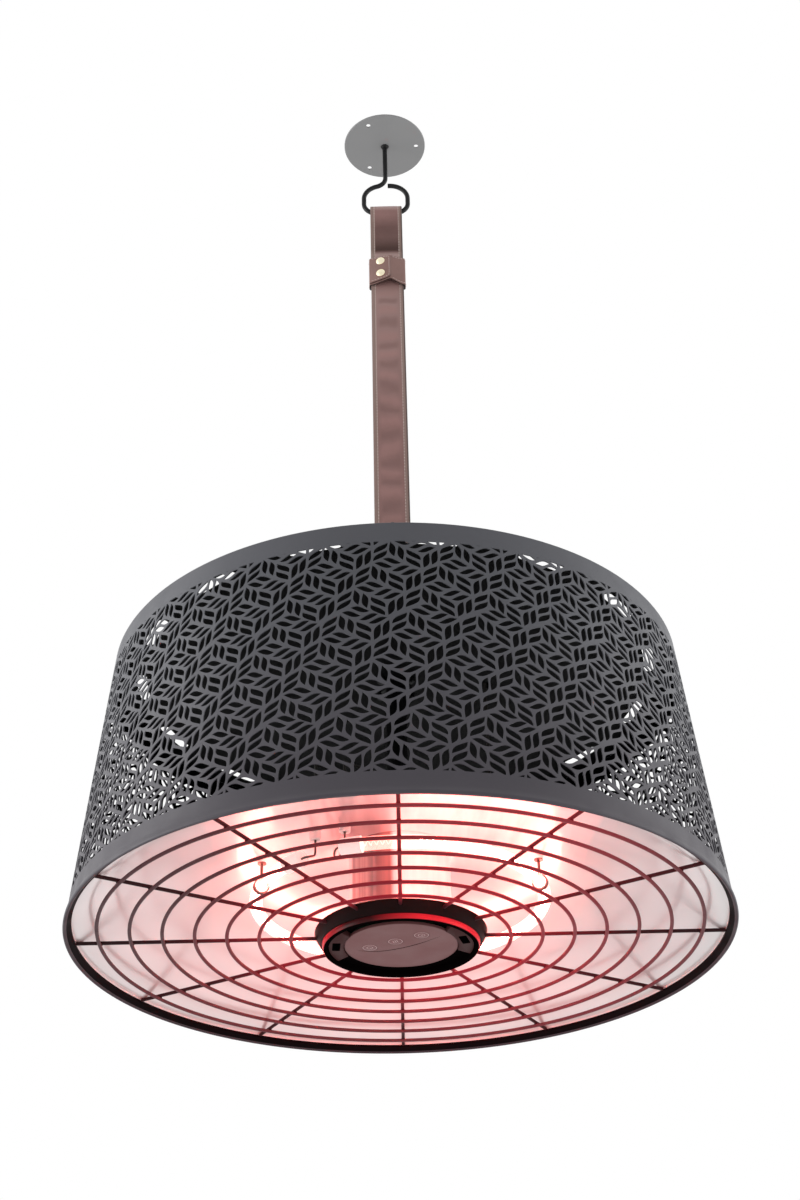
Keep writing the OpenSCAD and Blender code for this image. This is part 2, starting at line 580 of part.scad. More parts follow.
module box_lid() {
  color([0.08, 0.08, 0.08]) lamp() difference() {
    union() {
      translate([box_cx, 0, cover_top + box_h]) linear_extrude(height = 2.4) round_rect(box_w, 2 * box_y, 5);
      translate([box_cx, 0, cover_top + box_h - 1.6]) linear_extrude(height = 1.65) difference() {
        round_rect(box_w - 2 * box_t - 0.4, 2 * box_y - 2 * box_t - 0.4, 3.3);
        round_rect(box_w - 2 * box_t - 4, 2 * box_y - 2 * box_t - 4, 3);
        for (sx = [-1, 1], sy = [-1, 1]) translate([sx * (box_w / 2 - 6), sy * (box_y - 6)]) circle(4.5, $fn = 32);
      }
    }
    for (sx = [-1, 1], sy = [-1, 1]) translate([box_cx + sx * (box_w / 2 - 6), sy * (box_y - 6), cover_top + box_h - 3]) cylinder(h = 8, r = 1.6, $fn = 32);
  }
}
module lid_screws() {
  color([0.6, 0.6, 0.6]) lamp() for (sx = [-1, 1], sy = [-1, 1])
    translate([box_cx + sx * (box_w / 2 - 6), sy * (box_y - 6), cover_top + box_h + 2.4]) screw(1.5, 12, 3, 1.8);
}
module terminal_block() {
  color([0.9, 0.89, 0.84]) lamp() translate([104, -15, cover_top + box_t]) difference() {
    cube([14, 30, 14]);
    for (i = [0 : 2]) translate([7, 5.5 + i * 9.5, 5]) { cylinder(h = 12, r = 2, $fn = 24); }
  }
}
cr = cable_d / 2;
module along_x(x) { lamp() translate([x, 0, gland_z]) rotate([0, 90, 0]) children(); }
module cable_gland() {
  color([0.1, 0.1, 0.1]) along_x(box_x1 - 6) difference() {
    union() {
      cylinder(h = 7, r = 7.95, $fn = 64);
      translate([0, 0, 6]) hex(21, 5);
      translate([0, 0, 10]) cylinder(h = 8, r = 8, $fn = 64);
    }
    translate([0, 0, -1]) cylinder(h = 30, r = cr, $fn = 64);
  }
}
module gland_seal() {
  color([0.05, 0.05, 0.05]) along_x(box_x1 + 12) difference() {
    cylinder(h = 6, r = 7.8, $fn = 64);
    translate([0, 0, -1]) cylinder(h = 10, r = cr, $fn = 64);
  }
}
module gland_nut() {
  color([0.1, 0.1, 0.1]) along_x(box_x1 + 5.2) difference() {
    union() {
      hex(21, 9);
      translate([0, 0, 8.9]) cylinder(h = 7, r1 = 10.4, r2 = 8.6, $fn = 64);
    }
    translate([0, 0, -1]) cylinder(h = 13.8, r = 8.1, $fn = 64);
    translate([0, 0, 5]) cylinder(h = 20, r = cr, $fn = 64);
  }
}
module gland_locknut() {
  color([0.1, 0.1, 0.1]) along_x(box_x1 - box_t - 3.6) difference() {
    hex(20, 3.5);
    translate([0, 0, -1]) cylinder(h = 6, r = 8.0, $fn = 64);
  }
}
module inner_leads() {
  color([0.75, 0.73, 0.68]) lamp() for (k = [0, 1]) {
    s = k == 0 ? -1 : 1;
    q = [bush_r * cos(bush_at[k]), bush_r * sin(bush_at[k])];
    p0 = [feed_x, s * 3, cover_top + box_t + 4];
    p1 = [feed_x, s * 3, lead_z + 6 * k];
    p2 = [q[0], q[1], lead_z + 6 * k];
    p3 = [q[0], q[1], refl_z(bush_r) + 11.1];
    rod(p0, p1, 1.5, 24);
    rod(p1, p2, 1.45, 24, 1);
    rod(p2, p3, 1.5, 24);
  }
}

ceiling_plate();
hook();
strap();
strap_keeper();
keeper_snaps();
hanger_bracket();
hanger_pin();
pin_clip();
bracket_bolts();
bracket_nuts();
top_cover();
cover_screws();
shade_wall();
rim_ring();
stem_tube();
stem_nuts();
stem_screws();
reflector();
reflector_column();
feed_bushings();
heat_tube();
heat_filament();
tube_end_caps();
tube_leads();
tube_clips();
grille_rings();
grille_spokes();
hub_housing();
accent_ring();
hub_bezel();
panel_ears();
sensor_windows();
control_panel();
key_power();
key_heat();
key_timer();
circuit_board();
terminal_box();
box_lid();
lid_screws();
terminal_block();
cable_gland();
gland_seal();
gland_nut();
gland_locknut();
inner_leads();
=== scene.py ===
import math

import bpy
import numpy as np
from mathutils import Matrix, Vector
from mathutils.geometry import delaunay_2d_cdt


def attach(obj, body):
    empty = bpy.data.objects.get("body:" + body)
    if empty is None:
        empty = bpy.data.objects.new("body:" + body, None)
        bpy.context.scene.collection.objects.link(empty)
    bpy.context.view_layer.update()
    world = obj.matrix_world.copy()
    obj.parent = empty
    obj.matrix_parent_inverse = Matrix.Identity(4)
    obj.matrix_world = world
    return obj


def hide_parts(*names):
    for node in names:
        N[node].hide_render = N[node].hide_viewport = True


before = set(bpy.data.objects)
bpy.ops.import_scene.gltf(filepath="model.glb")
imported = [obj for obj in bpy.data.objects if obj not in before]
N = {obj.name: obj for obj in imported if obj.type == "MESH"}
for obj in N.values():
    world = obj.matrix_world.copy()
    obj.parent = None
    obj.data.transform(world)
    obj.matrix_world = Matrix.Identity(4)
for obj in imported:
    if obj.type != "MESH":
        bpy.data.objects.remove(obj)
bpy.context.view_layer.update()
scene = bpy.context.scene

HANG = 1052.0  # mm from the ceiling down to the lower rim


# ------------------------------------------------------------------ camera
def make_camera():
    pitch, yaw, roll = 0.5832, 0.0042, -0.0231
    fw = Vector((math.sin(yaw) * math.cos(pitch), math.cos(yaw) * math.cos(pitch), math.sin(pitch)))
    r = fw.cross(Vector((0, 0, 1))).normalized()
    u = r.cross(fw)
    r2 = math.cos(roll) * r + math.sin(roll) * u
    u2 = -math.sin(roll) * r + math.cos(roll) * u
    data = bpy.data.cameras.new("Camera")
    data.lens = 50.58
    data.sensor_width = 36.0
    data.clip_start, data.clip_end = 0.02, 60
    cam = bpy.data.objects.new("Camera", data)
    scene.collection.objects.link(cam)
    m = Matrix((
        (r2.x, u2.x, -fw.x, 0.0),
        (r2.y, u2.y, -fw.y, -1.4429),
        (r2.z, u2.z, -fw.z, -1.6307),
        (0, 0, 0, 1),
    ))
    cam.matrix_world = m
    scene.camera = cam


make_camera()
scene.view_settings.view_transform = "Standard"
scene.view_settings.look = "None"


# ------------------------------------------------------------------ materials
class Tree:
    def __init__(self, name):
        self.mat = bpy.data.materials.new(name)
        self.mat.use_nodes = True
        self.nt = self.mat.node_tree
        self.bsdf = self.nt.nodes["Principled BSDF"]
        self.out = self.nt.nodes["Material Output"]
        self.co = self.nt.nodes.new("ShaderNodeTexCoord").outputs["Object"]

    def node(self, kind, **values):
        n = self.nt.nodes.new(kind)
        for k, v in values.items():
            if hasattr(n, k):
                setattr(n, k, v)
            else:
                n.inputs[k.replace("_", " ")].default_value = v
        return n

    def link(self, a, b):
        self.nt.links.new(a, b)

    def mapped(self, scale=(1, 1, 1), rotation=(0, 0, 0)):
        n = self.nt.nodes.new("ShaderNodeMapping")
        n.inputs["Scale"].default_value = scale
        n.inputs["Rotation"].default_value = rotation
        self.link(self.co, n.inputs["Vector"])
        return n.outputs["Vector"]

    def noise(self, scale, detail=3.0, rough=0.5, vec=None, distortion=0.0):
        n = self.nt.nodes.new("ShaderNodeTexNoise")
        n.inputs["Scale"].default_value = scale
        n.inputs["Detail"].default_value = detail
        n.inputs["Roughness"].default_value = rough
        n.inputs["Distortion"].default_value = distortion
        self.link(vec or self.co, n.inputs["Vector"])
        return n.outputs["Fac"]

    def voronoi(self, scale, feature="F1", vec=None, out="Distance", randomness=1.0):
        n = self.nt.nodes.new("ShaderNodeTexVoronoi")
        n.feature = feature
        n.inputs["Scale"].default_value = scale
        n.inputs["Randomness"].default_value = randomness
        self.link(vec or self.co, n.inputs["Vector"])
        return n.outputs[out]

    def rng(self, value, a, b, c, d):
        n = self.nt.nodes.new("ShaderNodeMapRange")
        n.inputs["From Min"].default_value = a
        n.inputs["From Max"].default_value = b
        n.inputs["To Min"].default_value = c
        n.inputs["To Max"].default_value = d
        self.link(value, n.inputs["Value"])
        return n.outputs["Result"]

    def math(self, op, a, b=None, clamp=False):
        n = self.nt.nodes.new("ShaderNodeMath")
        n.operation = op
        n.use_clamp = clamp
        for i, v in enumerate((a, b)):
            if v is None:
                continue
            if isinstance(v, (int, float)):
                n.inputs[i].default_value = v
            else:
                self.link(v, n.inputs[i])
        return n.outputs[0]

    def mix(self, fac, a, b, kind="MIX"):
        n = self.nt.nodes.new("ShaderNodeMix")
        n.data_type = "RGBA"
        n.blend_type = kind
        if isinstance(fac, (int, float)):
            n.inputs["Factor"].default_value = fac
        else:
            self.link(fac, n.inputs["Factor"])
        for i, v in ((6, a), (7, b)):
            if isinstance(v, (tuple, list)):
                n.inputs[i].default_value = (*v[:3], 1)
            else:
                self.link(v, n.inputs[i])
        return n.outputs[2]

    def bump(self, height, distance, strength=1.0, below=None):
        n = self.nt.nodes.new("ShaderNodeBump")
        n.inputs["Distance"].default_value = distance
        n.inputs["Strength"].default_value = strength
        self.link(height, n.inputs["Height"])
        if below is not None:
            self.link(below, n.inputs["Normal"])
        return n.outputs["Normal"]

    def xyz(self):
        n = self.nt.nodes.new("ShaderNodeSeparateXYZ")
        self.link(self.co, n.inputs[0])
        return n.outputs

    def set(self, **values):
        for k, v in values.items():
            s = self.bsdf.inputs[k.replace("_", " ")]
            if isinstance(v, (int, float)):
                s.default_value = v
            elif isinstance(v, (tuple, list)):
                s.default_value = (*v[:3], 1)
            else:
                self.link(v, s)


def shade_of(c, k):
    return tuple(min(1.0, v * k) for v in c)


def coated(name, color, rough=0.45, vary=0.14, grain=0.35, grain_h=0.03, coat=0.0, rough_var=0.08, metallic=0.0, spec=0.5, fade=None):
    """Powder coat or moulded plastic: fine orange peel, faint cloudy tone, uneven gloss."""
    t = Tree(name)
    cloud = t.noise(9, 4, 0.55)
    speck = t.noise(1000 / grain * 0.6, 2, 0.6)
    fac = t.math("ADD", t.math("MULTIPLY", cloud, 0.7), t.math("MULTIPLY", speck, 0.3))
    base = t.mix(t.rng(fac, 0.3, 0.7, 0, 1), shade_of(color, 1 - vary), shade_of(color, 1 + vary))
    if fade:
        # a slightly different tone towards the lower edge
        z = t.xyz()[2]
        base = t.mix(t.rng(z, fade[0], fade[1], 1.0, 0.0), base, fade[2], "MULTIPLY")
    t.set(Base_Color=base)
    t.set(Roughness=t.rng(t.noise(40, 3), 0.3, 0.7, rough - rough_var, rough + rough_var), Metallic=metallic)
    t.bsdf.inputs["Specular IOR Level"].default_value = spec
    t.set(Normal=t.bump(t.noise(1000 / grain, 2, 0.5), grain_h / 1000))
    if coat:
        t.set(Coat_Weight=coat, Coat_Roughness=0.12)
    return t.mat


def metal(name, color, rough=0.25, stretch=(1, 1, 1), scale=900, amount=0.02, vary=0.08, rough_var=0.08):
    """Bare or plated metal with fine drawn or turned lines."""
    t = Tree(name)
    v = t.mapped(stretch)
    lines = t.noise(scale, 4, 0.6, v)
    cloud = t.noise(25, 3, 0.5)
    t.set(Base_Color=t.mix(t.rng(cloud, 0.3, 0.7, 0, 1), shade_of(color, 1 - vary), shade_of(color, 1 + vary)))
    t.set(Metallic=1.0)
    t.set(Roughness=t.rng(lines, 0.3, 0.7, max(0.02, rough - rough_var), rough + rough_var))
    t.set(Normal=t.bump(lines, amount / 1000))
    return t.mat


M = {}
M["shade_out"] = coated("shade_powder", (0.108, 0.110, 0.126), 0.46, 0.08, 0.5, 0.05, fade=(-1.052, -0.86, (0.72, 0.62, 0.66)))
# the shade's inside: near black without gloss, painted shade
M["shade_in"] = coated("shade_inner_painted_shade", (0.0018, 0.0018, 0.0022), 0.7, 0.1, 0.5, 0.05, spec=0.0)
M["rim"] = coated("rim_powder", (0.012, 0.005, 0.006), 0.6, 0.12, 0.5, 0.04, spec=0.1)
# near black for the rim's sloping face: painted shade
M["rim_under"] = coated("rim_painted_shade", (0.005, 0.0012, 0.0018), 0.6, 0.12, 0.5, 0.04, spec=0.05)
M["rim_lip"] = coated("rim_lip", (0.062, 0.036, 0.044), 0.55, 0.12, 0.5, 0.04, spec=0.3)
M["cover"] = coated("cover_powder", (0.008, 0.008, 0.009), 0.6, 0.12, 0.5, 0.04, spec=0.12)
M["plate"] = coated("plate_powder", (0.31, 0.31, 0.313), 0.5, 0.03, 0.6, 0.001)
M["hook"] = coated("hook_paint", (0.008, 0.008, 0.009), 0.4, 0.15, 0.5, 0.04, spec=0.35)
M["bracket"] = coated("bracket_paint", (0.006, 0.006, 0.0065), 0.55, 0.12, 0.5, 0.04, spec=0.08)
M["wire"] = None
M["zinc"] = metal("blackened_steel", (0.05, 0.05, 0.052), 0.4, (1, 1, 1), 700, 0.01)
M["steel_wire"] = metal("heat_stained_wire", (0.15, 0.115, 0.105), 0.35, (1, 1, 1), 1200, 0.01)
M["ceramic"] = coated("ceramic", (0.88, 0.82, 0.79), 0.62, 0.05, 0.8, 0.05)
M["hub_black"] = coated("hub_gloss", (0.012, 0.006, 0.006), 0.4, 0.1, 1.2, 0.01, spec=0.05)
M["bezel"] = coated("bezel_gloss", (0.003, 0.002, 0.002), 0.45, 0.1, 1.2, 0.01, spec=0.0)
M["ear"] = coated("ear_plastic", (0.062, 0.021, 0.021), 0.42, 0.08, 0.4, 0.03, spec=0.03)
M["window"] = coated("infrared_window", (0.0012, 0.001, 0.001), 0.3, 0.1, 2, 0.004, spec=0.0)
M["panel"] = coated("panel_matt", (0.21, 0.078, 0.078), 0.5, 0.05, 0.3, 0.03, spec=0.3)
M["key"] = coated("key_matt", (0.225, 0.086, 0.086), 0.48, 0.05, 0.3, 0.03, spec=0.3)
M["print"] = coated("panel_print", (0.62, 0.42, 0.42), 0.5, 0.05, 0.3, 0.01, spec=0.3)
M["ceramic_painted_glow"] = coated("ceramic_painted_glow", (0.88, 0.82, 0.79), 0.62, 0.05, 0.8, 0.05)
# painted glow: a pink emission on the tube's end caps stands for the ring's light on them
painted_ring_glow = M["ceramic_painted_glow"].node_tree.nodes["Principled BSDF"]
painted_ring_glow.inputs["Emission Color"].default_value = (1.0, 0.52, 0.46, 1)
painted_ring_glow.inputs["Emission Strength"].default_value = 0.55
M["board"] = coated("circuit_board", (0.03, 0.15, 0.07), 0.4, 0.15, 0.6, 0.02)
M["box"] = coated("box_plastic", (0.012, 0.012, 0.0125), 0.6, 0.1, 0.5, 0.06)
M["terminal"] = coated("terminal_cream", (0.72, 0.68, 0.58), 0.45, 0.06, 0.7, 0.03)
M["gland"] = coated("gland_nylon", (0.02, 0.02, 0.021), 0.35, 0.1, 0.8, 0.03)
M["seal"] = coated("seal_rubber", (0.012, 0.012, 0.012), 0.7, 0.1, 0.4, 0.05)
# near black without gloss for the reflector's upper side and the drum's inside: painted shade
M["back"] = coated("reflector_back_painted_shade", (0.0025, 0.0025, 0.003), 0.8, 0.12, 0.6, 0.04, spec=0.0)


def sheet_metal(name, glow, tone, dark):
    """Bright rolled aluminium with a painted glow, an emission that stands for the ring's light on it; glow(t) gives
    the strength of that, tone(t) how bright the sheet is, a painted reflection that mixes it towards dark.
    """
    t = Tree(name)
    dents = t.noise(14, 2, 0.4)
    fine = t.noise(420, 3, 0.5)
    n1 = t.bump(dents, 0.0004)
    base = t.mix(t.rng(t.noise(8, 3), 0.35, 0.65, 0, 1), (0.88, 0.85, 0.85), (0.93, 0.905, 0.90))
    base = t.mix(tone(t), dark, base)
    t.set(Base_Color=base)
    t.set(Metallic=1.0, Roughness=t.rng(t.noise(30, 3), 0.3, 0.7, 0.19, 0.26))
    t.set(Normal=t.bump(fine, 0.000002, 1.0, n1))
    # a second, wider lobe: the sheet is bright rolled and not a true mirror
    wide = t.nt.nodes.new("ShaderNodeBsdfPrincipled")
    t.link(base, wide.inputs["Base Color"])
    wide.inputs["Metallic"].default_value = 1.0
    wide.inputs["Roughness"].default_value = 0.5
    mix = t.nt.nodes.new("ShaderNodeMixShader")
    mix.inputs[0].default_value = 0.35
    t.link(t.bsdf.outputs[0], mix.inputs[1])
    t.link(wide.outputs[0], mix.inputs[2])
    # and some light scattered all round
    dif = t.nt.nodes.new("ShaderNodeBsdfDiffuse")
    t.link(base, dif.inputs["Color"])
    all_round = t.nt.nodes.new("ShaderNodeMixShader")
    all_round.inputs[0].default_value = 0.3
    t.link(mix.outputs[0], all_round.inputs[1])
    t.link(dif.outputs[0], all_round.inputs[2])
    # painted glow: emission standing for the ring's light on the sheet
    em = t.nt.nodes.new("ShaderNodeEmission")
    em.inputs["Color"].default_value = (1.0, 0.135, 0.112, 1)
    t.link(glow(t), em.inputs["Strength"])
    add = t.nt.nodes.new("ShaderNodeAddShader")
    t.link(all_round.outputs[0], add.inputs[0])
    t.link(em.outputs[0], add.inputs[1])
    t.link(add.outputs[0], t.out.inputs["Surface"])
    return t.mat


def dish_painted_glow(t):
    # painted glow standing for the ring's light on the dish: stronger at the back, weaker on the right and at the edge,
    # strongest in front of the ring's closed side
    x, y, z = t.xyz()
    r = t.math("SQRT", t.math("ADD", t.math("MULTIPLY", x, x), t.math("MULTIPLY", y, y)))
    cx = t.math("DIVIDE", x, t.math("MAXIMUM", r, 0.01))
    sy = t.math("MAXIMUM", t.math("DIVIDE", y, t.math("MAXIMUM", r, 0.01)), 0.0)
    g = t.math("ADD", t.math("ADD", 0.12, t.math("MULTIPLY", cx, -0.05)), t.math("MULTIPLY", t.math("MULTIPLY", sy, sy), 0.30))
    g = t.math("MULTIPLY", g, t.rng(r, 0.245, 0.294, 1.0, 0.36))
    streak = t.noise(1.0, 3, 0.6, t.mapped((55, 3.5, 3.5)))
    front = t.rng(y, -0.02, 0.05, 1.0, 0.0)
    right = t.math("MULTIPLY", t.rng(x, -0.018, 0.004, 0.0, 1.0), t.rng(x, 0.118, 0.165, 1.0, 0.0))
    left = t.math("MULTIPLY", t.rng(x, -0.16, -0.135, 0.0, 1.0), t.rng(x, -0.118, -0.085, 1.0, 0.0))
    painted_ring_glow = t.math("ADD", t.math("MULTIPLY", right, 1.6), t.math("MULTIPLY", left, 0.6))
    painted_ring_glow = t.math("MULTIPLY", t.math("MULTIPLY", painted_ring_glow, front), t.rng(streak, 0.3, 0.7, 0.5, 1.35))
    return t.math("ADD", t.math("MULTIPLY", g, t.rng(t.noise(9, 3), 0.3, 0.7, 0.85, 1.15)), painted_ring_glow)


def dish_painted_reflection(t):
    # painted reflection: duller streaks where the dish mirrors the unlit side of the drum
    x, y, z = t.xyz()
    streak = t.noise(1.0, 2, 0.6, t.mapped((70, 2.5, 2.5)))
    band = t.math("MULTIPLY", t.rng(x, -0.078, -0.06, 0.0, 1.0), t.rng(x, -0.03, -0.012, 1.0, 0.0))
    band = t.math("MULTIPLY", t.math("MULTIPLY", band, t.rng(y, -0.06, 0.0, 1.0, 0.0)), t.rng(streak, 0.35, 0.65, 0.3, 0.75))
    return t.math("SUBTRACT", 1.0, band)


def drum_painted_reflection(t):
    # painted reflection: the side that mirrors the ring's gap is dull, with a bright line at its edge
    x, y, z = t.xyz()
    streak = t.noise(1.0, 2, 0.6, t.mapped((210, 30, 1.5)))
    cool = t.math("MULTIPLY", t.rng(x, -0.0445, -0.0425, 0.0, 1.0), t.rng(x, -0.024, -0.020, 1.0, 0.0))
    red = t.math("MULTIPLY", t.rng(x, -0.024, -0.020, 0.0, 1.0), t.rng(x, -0.0085, -0.005, 1.0, 0.0))
    dull = t.math("ADD", t.math("MULTIPLY", t.math("MULTIPLY", cool, t.rng(streak, 0.35, 0.65, 0.66, 0.9)), t.rng(x, -0.040, -0.026, 0.8, 1.0)), t.math("MULTIPLY", red, 0.92))
    return t.math("SUBTRACT", 1.0, dull)


def drum_painted_glow(t):
    # painted reflection of the ring as emission: the drum opposite the ring's gap gets little, next to it comes a red
    # streak, and beyond that it is white
    x, y, z = t.xyz()
    streak = t.noise(1.0, 3, 0.6, t.mapped((160, 30, 1.5)))
    red = t.math("MULTIPLY", t.rng(x, -0.024, -0.012, 0.1, 1.0), t.rng(x, -0.0085, -0.005, 1.0, 0.0))
    red = t.math("MULTIPLY", red, t.rng(x, -0.0245, -0.024, 0.0, 1.0))
    white = t.math("MULTIPLY", t.rng(x, -0.0085, -0.003, 0.0, 1.0), t.rng(y, 0.0, 0.02, 1.0, 0.0))
    s = t.math("ADD", t.math("MULTIPLY", red, 0.62), t.math("MULTIPLY", white, 1.7))
    return t.math("ADD", 0.03, t.math("MULTIPLY", s, t.rng(streak, 0.3, 0.7, 0.8, 1.2)))


M["reflector"] = sheet_metal("reflector_aluminium", dish_painted_glow, dish_painted_reflection, (0.30, 0.30, 0.31))
M["drum"] = sheet_metal("drum_aluminium", drum_painted_glow, drum_painted_reflection, (0.10, 0.10, 0.105))


def glow_material(name, color, strength, clear, rough=0.08):
    t = Tree(name)
    em = t.nt.nodes.new("ShaderNodeEmission")
    em.inputs["Color"].default_value = (*color, 1)
    t.link(t.rng(t.noise(60, 2), 0.3, 0.7, strength * 0.85, strength * 1.15), em.inputs["Strength"])
    t.set(Base_Color=t.mix(t.noise(50), (0.9, 0.8, 0.78), (1, 0.92, 0.9)), Roughness=rough)
    add = t.nt.nodes.new("ShaderNodeAddShader")
    gloss = t.nt.nodes.new("ShaderNodeMixShader")
    gloss.inputs[0].default_value = clear
    tr = t.nt.nodes.new("ShaderNodeBsdfTransparent")
    t.link(t.bsdf.outputs[0], gloss.inputs[1])
    t.link(tr.outputs[0], gloss.inputs[2])
    t.link(em.outputs[0], add.inputs[0])
    t.link(gloss.outputs[0], add.inputs[1])
    t.link(add.outputs[0], t.out.inputs["Surface"])
    return t.mat


M["quartz"] = glow_material("quartz_glow", (1.0, 0.15, 0.12), 2.0, 0.85)
M["filament"] = glow_material("filament_glow", (1.0, 0.13, 0.1), 75.0, 0.0)


M["filament_end"] = glow_material("filament_end", (1.0, 0.07, 0.03), 1.1, 0.0)


def wire_material(name, pale, painted_glow_scale):
    t = Tree(name)
    fac = t.noise(220, 3, 0.6)
    t.set(Roughness=t.rng(t.noise(60, 3), 0.3, 0.7, 0.42, 0.58))
    t.bsdf.inputs["Specular IOR Level"].default_value = 0.15
    x, y, z = t.xyz()
    r = t.math("SQRT", t.math("ADD", t.math("MULTIPLY", x, x), t.math("MULTIPLY", y, y)))
    base = t.mix(t.rng(fac, 0.3, 0.7, 0, 1), shade_of((0.058, 0.030, 0.033), 0.86 * pale), shade_of((0.058, 0.030, 0.033), 1.14 * pale))
    t.set(Base_Color=t.mix(t.rng(r, 0.1, 0.26, 0.0, 1.0), (0.05, 0.008, 0.012), base))
    # painted glow: emission standing for the ring's red light on the wires, strongest near the ring and the hub, with
    # more on those at the back
    g = t.math("ADD", t.rng(r, 0.075, 0.22, 0.22, 0.01), t.math("MULTIPLY", t.rng(y, -0.02, 0.19, 0.0, 0.09), t.rng(r, 0.2, 0.3, 1.0, 0.6)))
    g = t.math("MULTIPLY", g, t.rng(t.noise(25, 3), 0.3, 0.7, 0.8, 1.2))
    g = t.math("MULTIPLY", g, t.rng(r, 0.0795, 0.088, 0.03, 1.0))
    g = t.math("MULTIPLY", g, t.rng(r, 0.13, 0.2, 1.0, painted_glow_scale))
    g = t.math("ADD", g, t.math("MULTIPLY", t.math("MULTIPLY", t.rng(y, -0.24, -0.06, 0.15, 0.0), t.rng(x, -0.16, 0.02, 0.12, 1.0)), t.rng(x, 0.17, 0.24, 1.0, 0.3)))
    g = t.math("ADD", g, t.math("MULTIPLY", t.rng(x, -0.02, 0.12, 0.0, 0.10 * painted_glow_scale ** 2), t.rng(r, 0.24, 0.29, 1.0, 0.3)))
    g = t.math("MULTIPLY", g, t.rng(r, 0.0795, 0.088, 0.03, 1.0))
    t.bsdf.inputs["Emission Color"].default_value = (1.0, 0.035, 0.065, 1)
    t.set(Emission_Strength=g)
    t.set(Normal=t.bump(t.noise(700, 3), 0.00003))
    return t.mat


# one powder coat in two copies: the rings lighter and the spokes darker, painted light and shade; the spokes also get
# less painted glow
M["wire"] = wire_material("grille_powder", 1.35, 0.9)
M["spoke"] = wire_material("grille_powder_painted_shade", 0.3, 0.3)


def accent_material():
    t = Tree("accent_red")
    x, y, z = t.xyz()
    az = t.math("ARCTAN2", y, x)
    # painted light from the heating tube: the glow and the redder colour along the ring dim towards the tube's open
    # side
    d = t.math("ABSOLUTE", t.math("SUBTRACT", az, math.radians(-122)))
    near = t.rng(d, math.radians(10), math.radians(48), 0.02, 1.0)
    em = t.math("MULTIPLY", near, t.rng(t.noise(30), 0.3, 0.7, 0.85, 1.1))
    t.set(Base_Color=t.mix(near, (0.03, 0.004, 0.005), (0.35, 0.01, 0.016)), Roughness=0.25)
    t.bsdf.inputs["Emission Color"].default_value = (1.0, 0.03, 0.05, 1)
    t.bsdf.inputs["Specular IOR Level"].default_value = 0.2
    t.set(Emission_Strength=t.math("MULTIPLY", em, 0.4))
    t.set(Normal=t.bump(t.noise(900), 0.00001))
    return t.mat


M["accent"] = accent_material()


